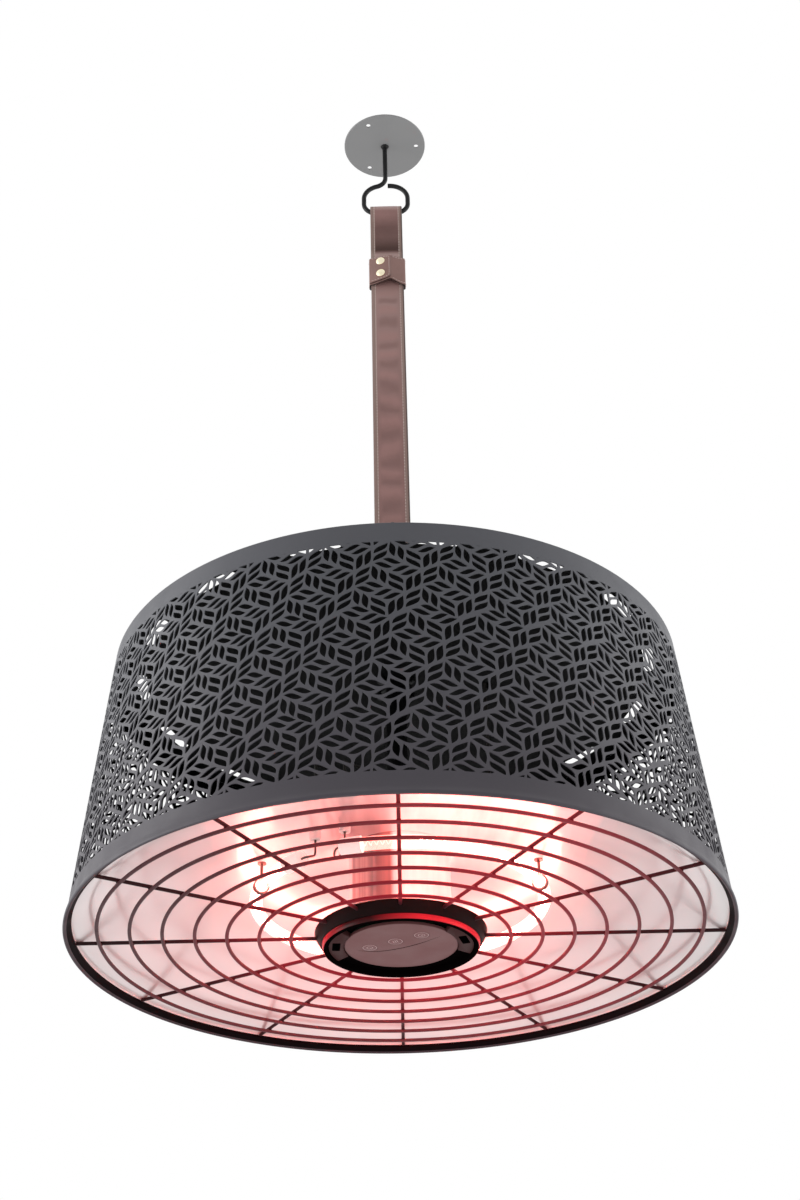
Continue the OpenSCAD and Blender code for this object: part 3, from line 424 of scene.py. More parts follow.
def leather(name, color, edge=None, half=19.0):
    t = Tree(name)
    x, y, z = t.xyz()
    pores = t.voronoi(900, "DISTANCE_TO_EDGE")
    cells = t.voronoi(420, "DISTANCE_TO_EDGE")
    folds = t.noise(60, 4, 0.6, t.mapped((0.5, 0.5, 1.7)), 0.6)
    cloud = t.noise(16, 5, 0.6)
    base = t.mix(t.rng(cloud, 0.3, 0.7, 0, 1), shade_of(color, 0.86), shade_of(color, 1.14))
    base = t.mix(t.rng(pores, 0.0, 0.12, 0.35, 0.0), base, shade_of(color, 0.55))
    if edge is not None:
        # painted shade: darker just below the fold, up to the keeper
        painted_shade_below_fold = t.math("ADD", t.rng(z, -0.128, -0.148, 0.0, 0.5), t.rng(z, -0.163, -0.181, 0.0, 0.42))
        painted_shade_below_fold = t.math("MULTIPLY", painted_shade_below_fold, t.rng(z, -0.1905, -0.184, 0.0, 1.0))
        base = t.mix(painted_shade_below_fold, base, (0.052, 0.015, 0.008))
        # and painted highlights where it is bent, at the fold and where it enters the keeper
        painted_highlight_at_bends = t.math("ADD", t.rng(z, -0.1215, -0.1165, 0.0, 0.5), t.math("MULTIPLY", t.rng(z, -0.186, -0.191, 0.0, 0.5), t.rng(z, -0.201, -0.197, 0.0, 1.0)))
        base = t.mix(painted_highlight_at_bends, base, (0.72, 0.53, 0.50))
        # a little lighter and greyer below the keeper
        base = t.mix(t.math("MULTIPLY", t.rng(z, -0.45, -0.27, 0.0, 0.5), t.rng(z, -0.236, -0.25, 0.0, 1.0)), base, (0.50, 0.335, 0.31))
        # shallow folds across the middle, below the keeper: real relief in the bump, with painted shade in the valleys
        # and painted highlights on the ridges
        ax = t.math("ABSOLUTE", x)
        crease = t.nt.nodes.new("ShaderNodeTexWave")
        crease.bands_direction = "Z"
        crease.inputs["Scale"].default_value = 9.5
        crease.inputs["Distortion"].default_value = 4.0
        crease.inputs["Detail"].default_value = 2.0
        crease.inputs["Detail Scale"].default_value = 1.8
        t.link(t.co, crease.inputs["Vector"])
        wave = crease.outputs["Fac"]
        held = t.math("MULTIPLY", t.rng(ax, 0.0135, 0.0085, 0.0, 1.0), t.rng(z, -0.236, -0.262, 0.0, 1.0))
        base = t.mix(t.math("MULTIPLY", held, t.rng(wave, 0.45, 0.0, 0.0, 0.6)), base, shade_of(color, 0.72))
        base = t.mix(t.math("MULTIPLY", held, t.rng(wave, 0.55, 1.0, 0.0, 0.5)), base, shade_of(color, 1.32))
        # greyer margins outside the stitches, with a pale line under the stitches
        greyer_margin = t.rng(ax, (half - 5.2) / 1000, (half - 3.8) / 1000, 0.0, 0.85)
        base = t.mix(t.math("MULTIPLY", greyer_margin, t.rng(t.noise(120, 3), 0.3, 0.7, 0.7, 1.0)), base, edge)
        line = t.math("MULTIPLY", t.rng(ax, (half - 5.6) / 1000, (half - 4.9) / 1000, 0.0, 0.7), t.rng(ax, (half - 3.6) / 1000, (half - 4.3) / 1000, 0.0, 1.0))
        line = t.math("MULTIPLY", line, t.rng(x, -0.001, 0.001, 1.0, 0.4))
        base = t.mix(line, base, (0.56, 0.41, 0.35))
        # dark cut edges, weaker on the left; the wider dark band on the right side is painted shade
        cut = t.rng(ax, (half - 1.0) / 1000, (half - 0.45) / 1000, 0.0, 0.9)
        cut = t.math("MULTIPLY", cut, t.rng(x, -0.001, 0.001, 0.45, 1.0))
        cut = t.math("MAXIMUM", cut, t.rng(x, (half - 2.4) / 1000, (half - 0.6) / 1000, 0.0, 0.9))
        base = t.mix(cut, base, (0.045, 0.026, 0.021))
    t.set(Base_Color=base)
    t.set(Roughness=t.rng(t.noise(90, 3), 0.3, 0.7, 0.38, 0.54))
    n = t.bump(folds, 0.0005, 0.5)
    if edge is not None:
        n = t.bump(t.math("MULTIPLY", wave, held), 0.0009, 0.8, n)
    n = t.bump(t.rng(cells, 0, 0.3, 0, 1), 0.00008, 1.0, n)
    n = t.bump(t.rng(pores, 0, 0.25, 0, 1), 0.00006, 1.0, n)
    t.set(Normal=n, Sheen_Weight=0.25, Sheen_Roughness=0.4)
    t.bsdf.inputs["Sheen Tint"].default_value = (0.9, 0.75, 0.72, 1)
    return t.mat


M["strap"] = leather("strap_leather", (0.39, 0.208, 0.19), (0.37, 0.262, 0.225))
M["keeper"] = leather("keeper_leather", (0.34, 0.19, 0.165))
# dark leather for the cut edges, also put inside the keeper as painted shade
M["keeper_edge"] = leather("leather_edge_and_painted_shade", (0.04, 0.019, 0.016))


def thread_material():
    t = Tree("stitch_thread")
    twist = t.nt.nodes.new("ShaderNodeTexWave")
    twist.bands_direction = "DIAGONAL"
    twist.inputs["Scale"].default_value = 600
    t.link(t.co, twist.inputs["Vector"])
    t.set(Base_Color=t.mix(t.rng(twist.outputs["Fac"], 0, 1, 0, 1), (0.72, 0.55, 0.51), (0.88, 0.73, 0.68)), Roughness=0.7)
    t.set(Normal=t.bump(twist.outputs["Fac"], 0.00008), Sheen_Weight=0.3)
    return t.mat


M["thread"] = thread_material()
M["brass"] = metal("brass_with_painted_glint", (1.0, 0.94, 0.74), 0.42, (1, 1, 1), 500, 0.01, 0.05, 0.05)
# painted glint: a small emission makes the snaps brighter than the lamps alone would
cap = M["brass"].node_tree.nodes["Principled BSDF"]
cap.inputs["Emission Color"].default_value = (1.0, 0.84, 0.55, 1)
cap.inputs["Emission Strength"].default_value = 0.34


def sleeve_material():
    t = Tree("glass_sleeve")
    w = t.voronoi(700, "F1", out="Distance")
    t.set(Base_Color=t.mix(t.rng(w, 0, 0.6, 0, 1), (0.05, 0.042, 0.036), (0.025, 0.02, 0.018)), Roughness=0.8)
    t.set(Normal=t.bump(w, 0.0001))
    return t.mat


M["sleeve"] = sleeve_material()


# ------------------------------------------------------------------ mesh tools
def lamp_pt(x, y, z):
    return (x / 1000.0, y / 1000.0, (z - HANG) / 1000.0)


def mesh_object(name, verts, faces, mats, face_mats=None, sharp=35.0, smooth=True):
    me = bpy.data.meshes.new(name)
    me.from_pydata([tuple(v) for v in verts], [], [tuple(int(i) for i in f) for f in faces])
    for m in (mats if isinstance(mats, (list, tuple)) else [mats]):
        me.materials.append(m)
    if face_mats is not None:
        me.polygons.foreach_set("material_index", np.asarray(face_mats, np.int32))
    me.polygons.foreach_set("use_smooth", np.full(len(me.polygons), smooth))
    if smooth and sharp is not None:
        me.set_sharp_from_angle(angle=math.radians(sharp))
    me.update()
    o = bpy.data.objects.new(name, me)
    scene.collection.objects.link(o)
    return o


class Geo:
    """Collects vertices and faces for one object."""

    def __init__(self):
        self.v, self.f, self.m = [], [], []

    def add(self, verts, faces, mat=0):
        k = len(self.v)
        self.v.extend(tuple(map(float, p)) for p in verts)
        for i, f in enumerate(faces):
            self.f.append(tuple(int(a) + k for a in f))
            self.m.append(mat[i] if isinstance(mat, (list, tuple, np.ndarray)) else mat)

    def moved(self, fn):
        self.v = [fn(*p) for p in self.v]
        return self

    def make(self, name, mats, sharp=35.0):
        return mesh_object(name, self.v, self.f, mats, self.m, sharp)


def fillet(pts, radii, seg=4):
    """Rounds the corners of a closed polygon. radii is one number or one for each corner."""
    n = len(pts)
    if isinstance(radii, (int, float)):
        radii = [radii] * n
    out = []
    for i in range(n):
        p, a, b = np.array(pts[i], float), np.array(pts[i - 1], float), np.array(pts[(i + 1) % n], float)
        u, v = a - p, b - p
        lu, lv = np.linalg.norm(u), np.linalg.norm(v)
        r = radii[i]
        if r <= 0 or lu < 1e-9 or lv < 1e-9:
            out.append(tuple(p))
            continue
        u, v = u / lu, v / lv
        ang = math.acos(max(-1, min(1, float(u @ v))))
        if ang > math.radians(175):
            out.append(tuple(p))
            continue
        d = min(r / math.tan(ang / 2), 0.49 * lu, 0.49 * lv)
        r = d * math.tan(ang / 2)
        c = p + (u + v) / np.linalg.norm(u + v) * (r / math.sin(ang / 2))
        s, e = p + u * d - c, p + v * d - c
        a0, a1 = math.atan2(s[1], s[0]), math.atan2(e[1], e[0])
        while a1 - a0 > math.pi:
            a1 -= 2 * math.pi
        while a1 - a0 < -math.pi:
            a1 += 2 * math.pi
        for k in range(seg + 1):
            t = a0 + (a1 - a0) * k / seg
            out.append((c[0] + r * math.cos(t), c[1] + r * math.sin(t)))
    return out


def circle_pts(cx, cy, r, n, a0=0.0):
    return [(cx + r * math.cos(a0 + 2 * math.pi * k / n), cy + r * math.sin(a0 + 2 * math.pi * k / n)) for k in range(n)]


def lathe_geo(prof, n=192, a0=0.0, a1=360.0, mats=None, cap=True):
    """prof is a closed (r, z) polygon; a1 - a0 under 360 gives a capped arc. mats is one number for each profile edge."""
    g = Geo()
    full = abs(a1 - a0 - 360.0) < 1e-6
    steps = n if full else n + 1
    k = len(prof)
    area = sum(prof[i][0] * prof[(i + 1) % k][1] - prof[(i + 1) % k][0] * prof[i][1] for i in range(k))
    verts = []
    for s in range(steps):
        a = math.radians(a0 + (a1 - a0) * s / n)
        verts.extend((r * math.cos(a), r * math.sin(a), z) for r, z in prof)
    faces, fm = [], []
    for s in range(n):
        t = (s + 1) % steps
        for i in range(k):
            j = (i + 1) % k
            q = (s * k + i, t * k + i, t * k + j, s * k + j)
            faces.append(q if area > 0 else q[::-1])
            fm.append(mats[i] if mats else 0)
    if not full and cap:
        first, last = tuple(range(k)), tuple((steps - 1) * k + i for i in range(k))
        faces += [first[::-1], last] if area < 0 else [first, last[::-1]]
        fm += [0, 0]
    g.add(verts, faces, fm)
    return g


def lamp_lathe(name, prof, mats, n=192, a0=0.0, a1=360.0, pm=None, sharp=35.0):
    g = lathe_geo(prof, n, a0, a1, pm)
    return g.moved(lamp_pt).make(name, mats, sharp)


def frames_along(pts, closed=False, up=None):
    p = np.array(pts, float)
    n = len(p)
    tan = np.zeros_like(p)
    for i in range(n):
        if closed:
            tan[i] = p[(i + 1) % n] - p[i - 1]
        else:
            tan[i] = p[min(i + 1, n - 1)] - p[max(i - 1, 0)]
        tan[i] /= np.linalg.norm(tan[i]) + 1e-12
    ref = np.array(up if up is not None else (0, 0, 1.0), float)
    if up is None and abs(tan[0] @ ref) > 0.9:
        ref = np.array((1.0, 0, 0))
    nrm = np.zeros_like(p)
    v = ref - tan[0] * (tan[0] @ ref)
    v /= np.linalg.norm(v)
    for i in range(n):
        v = v - tan[i] * (tan[i] @ v)
        v /= np.linalg.norm(v) + 1e-12
        nrm[i] = v
    return p, tan, nrm, np.cross(tan, nrm)


def tube_geo(pts, radius, sides=16, closed=False, caps=True, round_end=False):
    """A round tube along pts. radius is one number or one for each point."""
    p, tan, nrm, bi = frames_along(pts, closed)
    n = len(p)
    rad = np.full(n, float(radius)) if isinstance(radius, (int, float)) else np.array(radius, float)
    verts = []
    for i in range(n):
        for s in range(sides):
            a = 2 * math.pi * s / sides
            verts.append(p[i] + rad[i] * (math.cos(a) * nrm[i] + math.sin(a) * bi[i]))
    faces = []
    for i in range(n if closed else n - 1):
        j = (i + 1) % n
        for s in range(sides):
            t = (s + 1) % sides
            faces.append((i * sides + s, i * sides + t, j * sides + t, j * sides + s))
    if not closed and caps:
        faces.append(tuple(range(sides))[::-1])
        faces.append(tuple((n - 1) * sides + s for s in range(sides)))
    g = Geo()
    g.add(verts, faces)
    return g


def smooth_line(pts, per=8):
    """Catmull-Rom through pts."""
    p = [np.array(q, float) for q in pts]
    p = [2 * p[0] - p[1], *p, 2 * p[-1] - p[-2]]
    out = []
    for i in range(1, len(p) - 2):
        for k in range(per):
            t = k / per
            a, b, c, d = p[i - 1], p[i], p[i + 1], p[i + 2]
            out.append(0.5 * (2 * b + (c - a) * t + (2 * a - 5 * b + 4 * c - d) * t * t + (3 * b - 3 * c + d - a) * t ** 3))
    out.append(p[-2])
    return out


def blob_geo(c, rx, ry, rz, seg=10, rings=6):
    verts, faces = [], []
    for i in range(1, rings):
        t = math.pi * i / rings
        for s in range(seg):
            a = 2 * math.pi * s / seg
            verts.append((c[0] + rx * math.sin(t) * math.cos(a), c[1] + ry * math.sin(t) * math.sin(a), c[2] + rz * math.cos(t)))
    top, bot = len(verts), len(verts) + 1
    verts += [(c[0], c[1], c[2] + rz), (c[0], c[1], c[2] - rz)]
    for i in range(rings - 2):
        for s in range(seg):
            t = (s + 1) % seg
            faces.append((i * seg + s, (i + 1) * seg + s, (i + 1) * seg + t, i * seg + t))
    for s in range(seg):
        t = (s + 1) % seg
        faces.append((top, s, t))
        faces.append((bot, (rings - 2) * seg + t, (rings - 2) * seg + s))
    g = Geo()
    g.add(verts, faces)
    return g


def slab_geo(outline, z0, z1, bevel, seg=3):
    """A flat piece with rounded edges. outline is a CCW polygon in (a, b); the result is (a, b, z)."""
    n = len(outline)
    p = np.array(outline, float)
    e = np.roll(p, -1, 0) - p
    e /= np.linalg.norm(e, axis=1)[:, None] + 1e-12
    nrm = np.stack([e[:, 1], -e[:, 0]], 1)
    nv = nrm + np.roll(nrm, 1, 0)
    nv /= np.linalg.norm(nv, axis=1)[:, None] + 1e-12
    lv = []
    for k in range(seg + 1):
        t = math.pi / 2 * k / seg
        lv.append((bevel * (1 - math.sin(t)), z0 + bevel * (1 - math.cos(t))))
    for k in range(seg + 1):
        t = math.pi / 2 * k / seg
        lv.append((bevel * (1 - math.cos(t)), z1 - bevel * (1 - math.sin(t))))
    verts = []
    for inset, z in lv:
        q = p - nv * inset
        verts.extend((a, b, z) for a, b in q)
    faces = [tuple(range(n))[::-1]]
    for k in range(len(lv) - 1):
        for i in range(n):
            j = (i + 1) % n
            faces.append((k * n + i, k * n + j, (k + 1) * n + j, (k + 1) * n + i))
    faces.append(tuple((len(lv) - 1) * n + i for i in range(n)))
    g = Geo()
    g.add(verts, faces)
    return g


def put(obj, body, *nodes, slot=None):
    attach(obj, body)
    if nodes:
        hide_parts(*nodes)
    return obj


# ------------------------------------------------------------------ perforated shade
R_LOW, R_TOP, H_SHADE, WALL = 300.0, 275.0, 272.0, 1.0
SLANT = math.hypot(H_SHADE, R_LOW - R_TOP)
REPEATS = 31
PITCH = 58.3  # mm along the mean circumference
ROW = 25.15
BAND_TOP, BAND_LOW = 21.3, 251.7

# the leaves of one repeat: two of each of six kinds. centre, step to the second leaf, half length, bulge
LEAVES = [
    ((47.4, 7.0), (-0.5, 8.35), (6.04, -5.49), (-5.23, -0.68)),
    ((28.8, 20.6), (7.3, -3.65), (2.53, -7.90), (3.21, 4.06)),
    ((17.7, 14.8), (-0.45, 8.35), (5.74, 5.76), (-6.18, -0.23)),
    ((57.6, 8.5), (7.35, 4.05), (1.60, 7.80), (-3.62, 2.57)),
    ((21.9, 4.6), (7.3, 4.1), (7.80, -2.40), (1.70, -4.20)),
    ((57.2, 21.4), (-7.4, 4.2), (7.93, 2.36), (1.63, 4.33)),
]
ROW_X = [0.0, -15.6, -31.1, -43.1]


def row_x(r):
    return -PITCH * (r // 4) + ROW_X[r % 4]


def leaf_outline(c, h, b, seg=7):
    """Two opposite curves between the tips at c - h and c + h, each bulging to its own side."""
    c, h, b = np.array(c), np.array(h) * 1.04, np.array(b) * 1.15
    k = 0.88
    out = []
    for s in (1, -1):
        p0, p3 = -h * s, h * s
        p1, p2 = p0 + k * (b * s - p0), p3 + k * (b * s - p3)
        for i in range(seg):
            t = i / seg
            out.append(c + (1 - t) ** 3 * p0 + 3 * (1 - t) ** 2 * t * p1 + 3 * (1 - t) * t * t * p2 + t ** 3 * p3)
    return [tuple(p) for p in out]


def clip(poly, axis, limit, keep_above):
    out = []
    for i in range(len(poly)):
        a, b = poly[i - 1], poly[i]
        ina = a[axis] >= limit if keep_above else a[axis] <= limit
        inb = b[axis] >= limit if keep_above else b[axis] <= limit
        if ina != inb:
            t = (limit - a[axis]) / (b[axis] - a[axis])
            q = [a[0] + t * (b[0] - a[0]), a[1] + t * (b[1] - a[1])]
            q[axis] = limit
            out.append(tuple(q))
        if inb:
            out.append(b)
    return out


def area_of(poly):
    return 0.5 * sum(poly[i - 1][0] * poly[i][1] - poly[i][0] * poly[i - 1][1] for i in range(len(poly)))


def leaf_cell():
    """All leaf cut-outs of one repeat, in (x, slant), clipped to the repeat and to the pierced band."""
    found = []
    for r in range(-2, 12):
        for kind, (c, step, h, b) in enumerate(LEAVES):
            x0 = row_x(r + 1) + 15.6 if kind == 5 else row_x(r)
            for twin in (0, 1):
                cx = c[0] + x0 + step[0] * twin
                cy = c[1] + ROW * r + step[1] * twin + 21.8
                cx %= PITCH
                whole = leaf_outline((0.0, 0.0), h, b)
                for shift in (-PITCH, 0.0, PITCH):
                    poly = [(round(p[0] + cx, 4) + shift, round(p[1] + cy, 4)) for p in whole]
                    for axis, limit, above in ((0, 0.0, True), (0, PITCH, False), (1, BAND_TOP, True), (1, BAND_LOW, False)):
                        poly = clip(poly, axis, limit, above) if len(poly) > 2 else []
                    if len(poly) > 2 and abs(area_of(poly)) > 0.6:
                        found.append(poly if area_of(poly) > 0 else poly[::-1])
    return found


def point_in(poly, x, y):
    inside = False
    j = len(poly) - 1
    for i in range(len(poly)):
        xi, yi = poly[i]
        xj, yj = poly[j]
        if (yi > y) != (yj > y) and x < (xj - xi) * (y - yi) / (yj - yi) + xi:
            inside = not inside
        j = i
    return inside


def shade_sheet(s_low):
    leaves = leaf_cell()
    pts, edges = [], []

    def line(ps, loop):
        k = len(pts)
        pts.extend(Vector(p) for p in ps)
        n = len(ps)
        edges.extend((k + i, k + (i + 1) % n) for i in range(n if loop else n - 1))

    div = 8
    top, low = 1.0, s_low
    xs = [PITCH * i / div for i in range(div + 1)]
    line([(x, top) for x in xs] + [(PITCH, low)] + [(x, low) for x in xs[::-1][1:]], True)
    for s in (8.0, 15.0, 20.6, 252.4, 259.0):
        if s < low - 1:
            for x in xs:
                pts.append(Vector((x, s)))
    for poly in leaves:
        line(poly, True)
    co, _, tris, _, _, _ = delaunay_2d_cdt(pts, edges, [], 0, 1e-5)
    boxes = [(min(p[0] for p in q), max(p[0] for p in q), min(p[1] for p in q), max(p[1] for p in q), q) for q in leaves]
    keep = []
    for t in tris:
        a, b, c = (co[i] for i in t)
        ar = (b.x - a.x) * (c.y - a.y) - (c.x - a.x) * (b.y - a.y)
        if abs(ar) < 1e-7:
            continue
        x, y = (a.x + b.x + c.x) / 3, (a.y + b.y + c.y) / 3
        if any(x0 <= x <= x1 and y0 <= y <= y1 and point_in(q, x, y) for x0, x1, y0, y1, q in boxes):
            continue
        keep.append(t if ar > 0 else (t[0], t[2], t[1]))
    xy = np.array([(p.x, p.y) for p in co])
    tri = np.array(keep, int)
    allv = np.concatenate([xy + (PITCH * k, 0) for k in range(REPEATS)])
    allt = np.concatenate([tri + len(xy) * k for k in range(REPEATS)])
    key = np.round(allv * 500).astype(np.int64)
    key[:, 0] %= int(round(PITCH * REPEATS * 500))
    _, first, inv = np.unique(key, axis=0, return_index=True, return_inverse=True)
    inv = inv.reshape(-1)
    flat = allv[first]
    allt = inv[allt]
    good = (allt[:, 0] != allt[:, 1]) & (allt[:, 1] != allt[:, 2]) & (allt[:, 2] != allt[:, 0])
    allt = allt[good]
    used = np.unique(allt)
    remap = np.full(len(flat), -1)
    remap[used] = np.arange(len(used))
    flat, allt = flat[used], remap[allt]
    az = math.radians(-90) + 2 * math.pi * flat[:, 0] / (PITCH * REPEATS)
    s = flat[:, 1]
    r = R_TOP + (R_LOW - R_TOP) * s / SLANT
    z = H_SHADE * (1 - s / SLANT)
    outer = np.stack([r * np.cos(az), r * np.sin(az), z], 1)
    inner = np.stack([(r - WALL) * np.cos(az), (r - WALL) * np.sin(az), z], 1)
    n = len(flat)
    # x runs with the azimuth and slant runs down, so a turned triangle faces outwards
    front = allt[:, ::-1]
    e = np.concatenate([front[:, [0, 1]], front[:, [1, 2]], front[:, [2, 0]]])
    ks = e[:, 0] * n + e[:, 1]
    kr = e[:, 1] * n + e[:, 0]
    free = e[~np.isin(ks, kr)]
    walls = np.stack([free[:, 1], free[:, 0], free[:, 0] + n, free[:, 1] + n], 1)
    g = Geo()
    g.add(np.concatenate([outer, inner]), [*front, *(allt + n), *walls],
          [0] * len(front) + [1] * len(allt) + [0] * len(walls))
    return g


def build_shade():
    g = shade_sheet(SLANT * (1 - 5.2 / H_SHADE))
    flange = fillet([(266.0, 270.8), (273.9, 270.8), (274.05, 269.6), (275.05, 269.6), (275.0, 272.0), (266.0, 272.0)],
                    [0.3, 0.3, 0.0, 0.0, 1.3, 0.35], 4)
    f = lathe_geo(flange, 192)
    g.add(f.v, f.f, 0)
    o = g.moved(lamp_pt).make("shade_shell", [M["shade_out"], M["shade_in"]], 30)
    put(o, "lamp", "shade_wall", slot="shade_paint")


build_shade()


def wall_out(z):
    return R_LOW - (R_LOW - R_TOP) * z / H_SHADE


RIM_TOP = 9.42


def build_rim():
    flare = [(wall_out(z) + 1.05 * (1 - (z - 3.2) / 14.0) ** 2, z) for z in (5.5, 8.0, 11.0, 14.0)]
    prof = [(299.6, 0.0), (300.7, 0.0), (301.3, 0.35), (301.6, 1.0), (301.5, 2.2), (301.25, 3.2), *flare, (wall_out(17.2) + 0.01, 17.2),
            (wall_out(17.2) - 0.5, 17.2), (wall_out(3.2) - 1.1, 3.2), (wall_out(16) - 1.1, 16.0), (wall_out(16) - 2.6, 16.0), (wall_out(7) - 2.6, 7.0),
            (296.8, 4.5), (295.6, 5.6), (295.6, RIM_TOP), (294.2, RIM_TOP), (294.2, 7.2), (294.2, 5.0), (298.1, 1.39)]
    n = len(prof)
    rad = [0.4, 0.3, 0.4, 0.5, 0.2, 0.1] + [0.0] * 5 + [0.0, 0.0, 0.3, 0.5, 0.3, 0.3, 0.3, 0.4, 0.4, 0.0, 0.8, 0.0]
    pts, pm = [], []
    for i in range(n):
        # outside the shade's own tone, the sloping face near black as painted shade, the top of the upright edge given
        # the reflector's finish with its painted glow
        cut = fillet([prof[i - 1], prof[i], prof[(i + 1) % n]], [0, rad[i], 0], 3)[1:-1]
        for q in cut:
            pts.append(q)
            pm.append(0 if 1 <= i <= 11 else 2 if i in (18, 19) else 3 if i in (0, n - 1) else 1)
    g = lathe_geo(pts, 240, mats=pm)
    o = g.moved(lamp_pt).make("rim_ring_detail", [M["shade_out"], M["rim_under"], M["reflector"], M["rim_lip"]], 40)
    put(o, "lamp", "rim_ring", slot="rim_paint")


build_rim()


# ------------------------------------------------------------------ grille
RING_Z, SPOKE_Z, WR = 4.5, 7.75, 1.7
RING_FIRST, RING_STEP = 99.4, 28.8


def build_grille():
    g = Geo()
    for i in range(7):
        t = lathe_geo(circle_pts(RING_FIRST + RING_STEP * i, RING_Z, WR, 14), 220)
        g.add(t.v, t.f)
    o = g.moved(lamp_pt).make("grille_ring_wires", [M["wire"]], None)
    put(o, "lamp", "grille_rings", slot="grille_wire")
    g = Geo()
    for k in range(12):
        a = math.radians(30 * k)
        c, s = math.cos(a), math.sin(a)
        rr = [76.0, 140.0, 220.0, 290.0, 295.0, 296.6, 296.89]
        rad = [WR, WR, WR, WR, WR, WR, WR]
        t = tube_geo([(r * c, r * s, SPOKE_Z) for r in rr], rad, 14)
        g.add(t.v, t.f)
        for i in range(7):
            r = RING_FIRST + RING_STEP * i
            b = blob_geo((0, 0, 0), 2.3, 2.1, 1.5)
            b.moved(lambda x, y, z: ((r + x) * c - y * s, (r + x) * s + y * c, RING_Z + 1.65 + z))
            g.add(b.v, b.f)
    o = g.moved(lamp_pt).make("grille_spoke_wires", [M["spoke"]], 50)
    put(o, "lamp", "grille_spokes", slot="grille_wire")


build_grille()


# ------------------------------------------------------------------ reflector, column, heating ring
REFL_EDGE, REFL_EDGE_Z, REFL_IN, REFL_IN_Z = 289.0, SPOKE_Z + WR + 0.02, 60.0, 90.0


def refl_z(r):
    return REFL_EDGE_Z + (REFL_IN_Z - REFL_EDGE_Z) * (REFL_EDGE - r) / (REFL_EDGE - REFL_IN)


def build_reflector():
    t = 0.9
    rs = [REFL_EDGE - (REFL_EDGE - REFL_IN) * k / 24 for k in range(25)]
    low = [(295.05, REFL_EDGE_Z)] + [(r, refl_z(r)) for r in rs] + [(47.6, REFL_IN_Z + 0.6)]
    up = [(47.6, REFL_IN_Z + 0.6 + t)] + [(r, refl_z(r) + t) for r in rs[::-1]] + [(295.05, REFL_EDGE_Z + t)]
    prof = low + up
    # the upper side gets the near-black back finish, painted shade
    pm = [0] * (len(low) - 1) + [1] * (len(up) + 1)
    g = lathe_geo(prof, 256, mats=pm)
    o = g.moved(lamp_pt).make("reflector_dish", [M["reflector"], M["back"]], 50)
    put(o, "lamp", "reflector", slot="reflector_aluminium")
    col = [(46.2, 11.75), (47.0, 11.75), (47.0, 91.5), (56.0, 91.5), (56.0, 92.35), (46.2, 92.35)]
    prof = fillet(col, [0.1, 0.2, 0.8, 0.3, 0.3, 0.1], 3)
    # only the outside faces the ring; the inside and the flange's top get the near-black back finish, painted shade
    pm = [0 if prof[i][0] > 46.9 and prof[(i + 1) % len(prof)][0] > 46.9 and max(prof[i][1], prof[(i + 1) % len(prof)][1]) < 91.6 else 1 for i in range(len(prof))]
    o = lamp_lathe("reflector_drum", prof, [M["drum"], M["back"]], 160, pm=pm, sharp=50)
    put(o, "lamp", "reflector_column", slot="reflector_aluminium")


build_reflector()

HEAT_R, HEAT_Z = 132.0, 40.0
END_A, SWEEP = -108.0, 334.0


def build_heat():
    outer = circle_pts(HEAT_R, HEAT_Z, 6.0, 28)
    o = lamp_lathe("quartz_ring", outer, [M["quartz"]], 200, END_A, END_A + SWEEP, sharp=60)
    put(o, "lamp", "heat_tube", slot="quartz")
    # the element: a flat coiled ribbon inside the quartz
    turns = 150
    pts = []
    for k in range(turns * 8 + 1):
        t = k / (turns * 8)
        a = math.radians(END_A + 1.5 + (SWEEP - 3) * t)
        w = 2 * math.pi * turns * t
        r = HEAT_R + 1.9 * math.cos(w)
        pts.append((r * math.cos(a), r * math.sin(a), HEAT_Z + 1.9 * math.sin(w)))
    g = tube_geo(pts, 0.45, 5)
    # the first turns at the gap stay dark red
    first = 8 * 11 * 5
    g.m = [1 if k < first else 0 for k in range(len(g.f))]
    o = g.moved(lamp_pt).make("glowing_coil", [M["filament"], M["filament_end"]], 60)
    put(o, "lamp", "heat_filament", slot="filament")


build_heat()


def on_ring(a, z, r=HEAT_R):
    return (r * math.cos(math.radians(a)), r * math.sin(math.radians(a)), z)


def build_leads():
    g = Geo()
    zb = refl_z(118.0) - 8.2
    lines = [
        [on_ring(-112.02, 40), on_ring(-114.0, 40.0), on_ring(-115.6, 38.0, 129), on_ring(-116.6, 36.4, 124), on_ring(-115.9, 38.4, 119.5),
         on_ring(-114.2, 43, 118.2), on_ring(-113.5, 50, 118), on_ring(-113.5, zb, 118)],
        [on_ring(-129.98, 40), on_ring(-128.4, 40.2), on_ring(-127.2, 41.8, 128), on_ring(-127.4, 44.5, 122.5), on_ring(-128.3, 48.5, 118.8),
         on_ring(-128.5, 53, 118), on_ring(-128.5, zb, 118)],
    ]
    for ln in lines:
        t = tube_geo(smooth_line(ln, 8), 1.0, 12)
        g.add(t.v, t.f)
    o = g.moved(lamp_pt).make("lead_wires", [M["steel_wire"]], 50)
    put(o, "lamp", "tube_leads", slot="lead_wire")


build_leads()


# ------------------------------------------------------------------ hub
HUB_Z0, HUB_Z1, ACC = -4.3, 11.7, 0.7


def hub_r(z):
    return 70.3 + 8.7 * (z - HUB_Z0) / (HUB_Z1 - HUB_Z0)


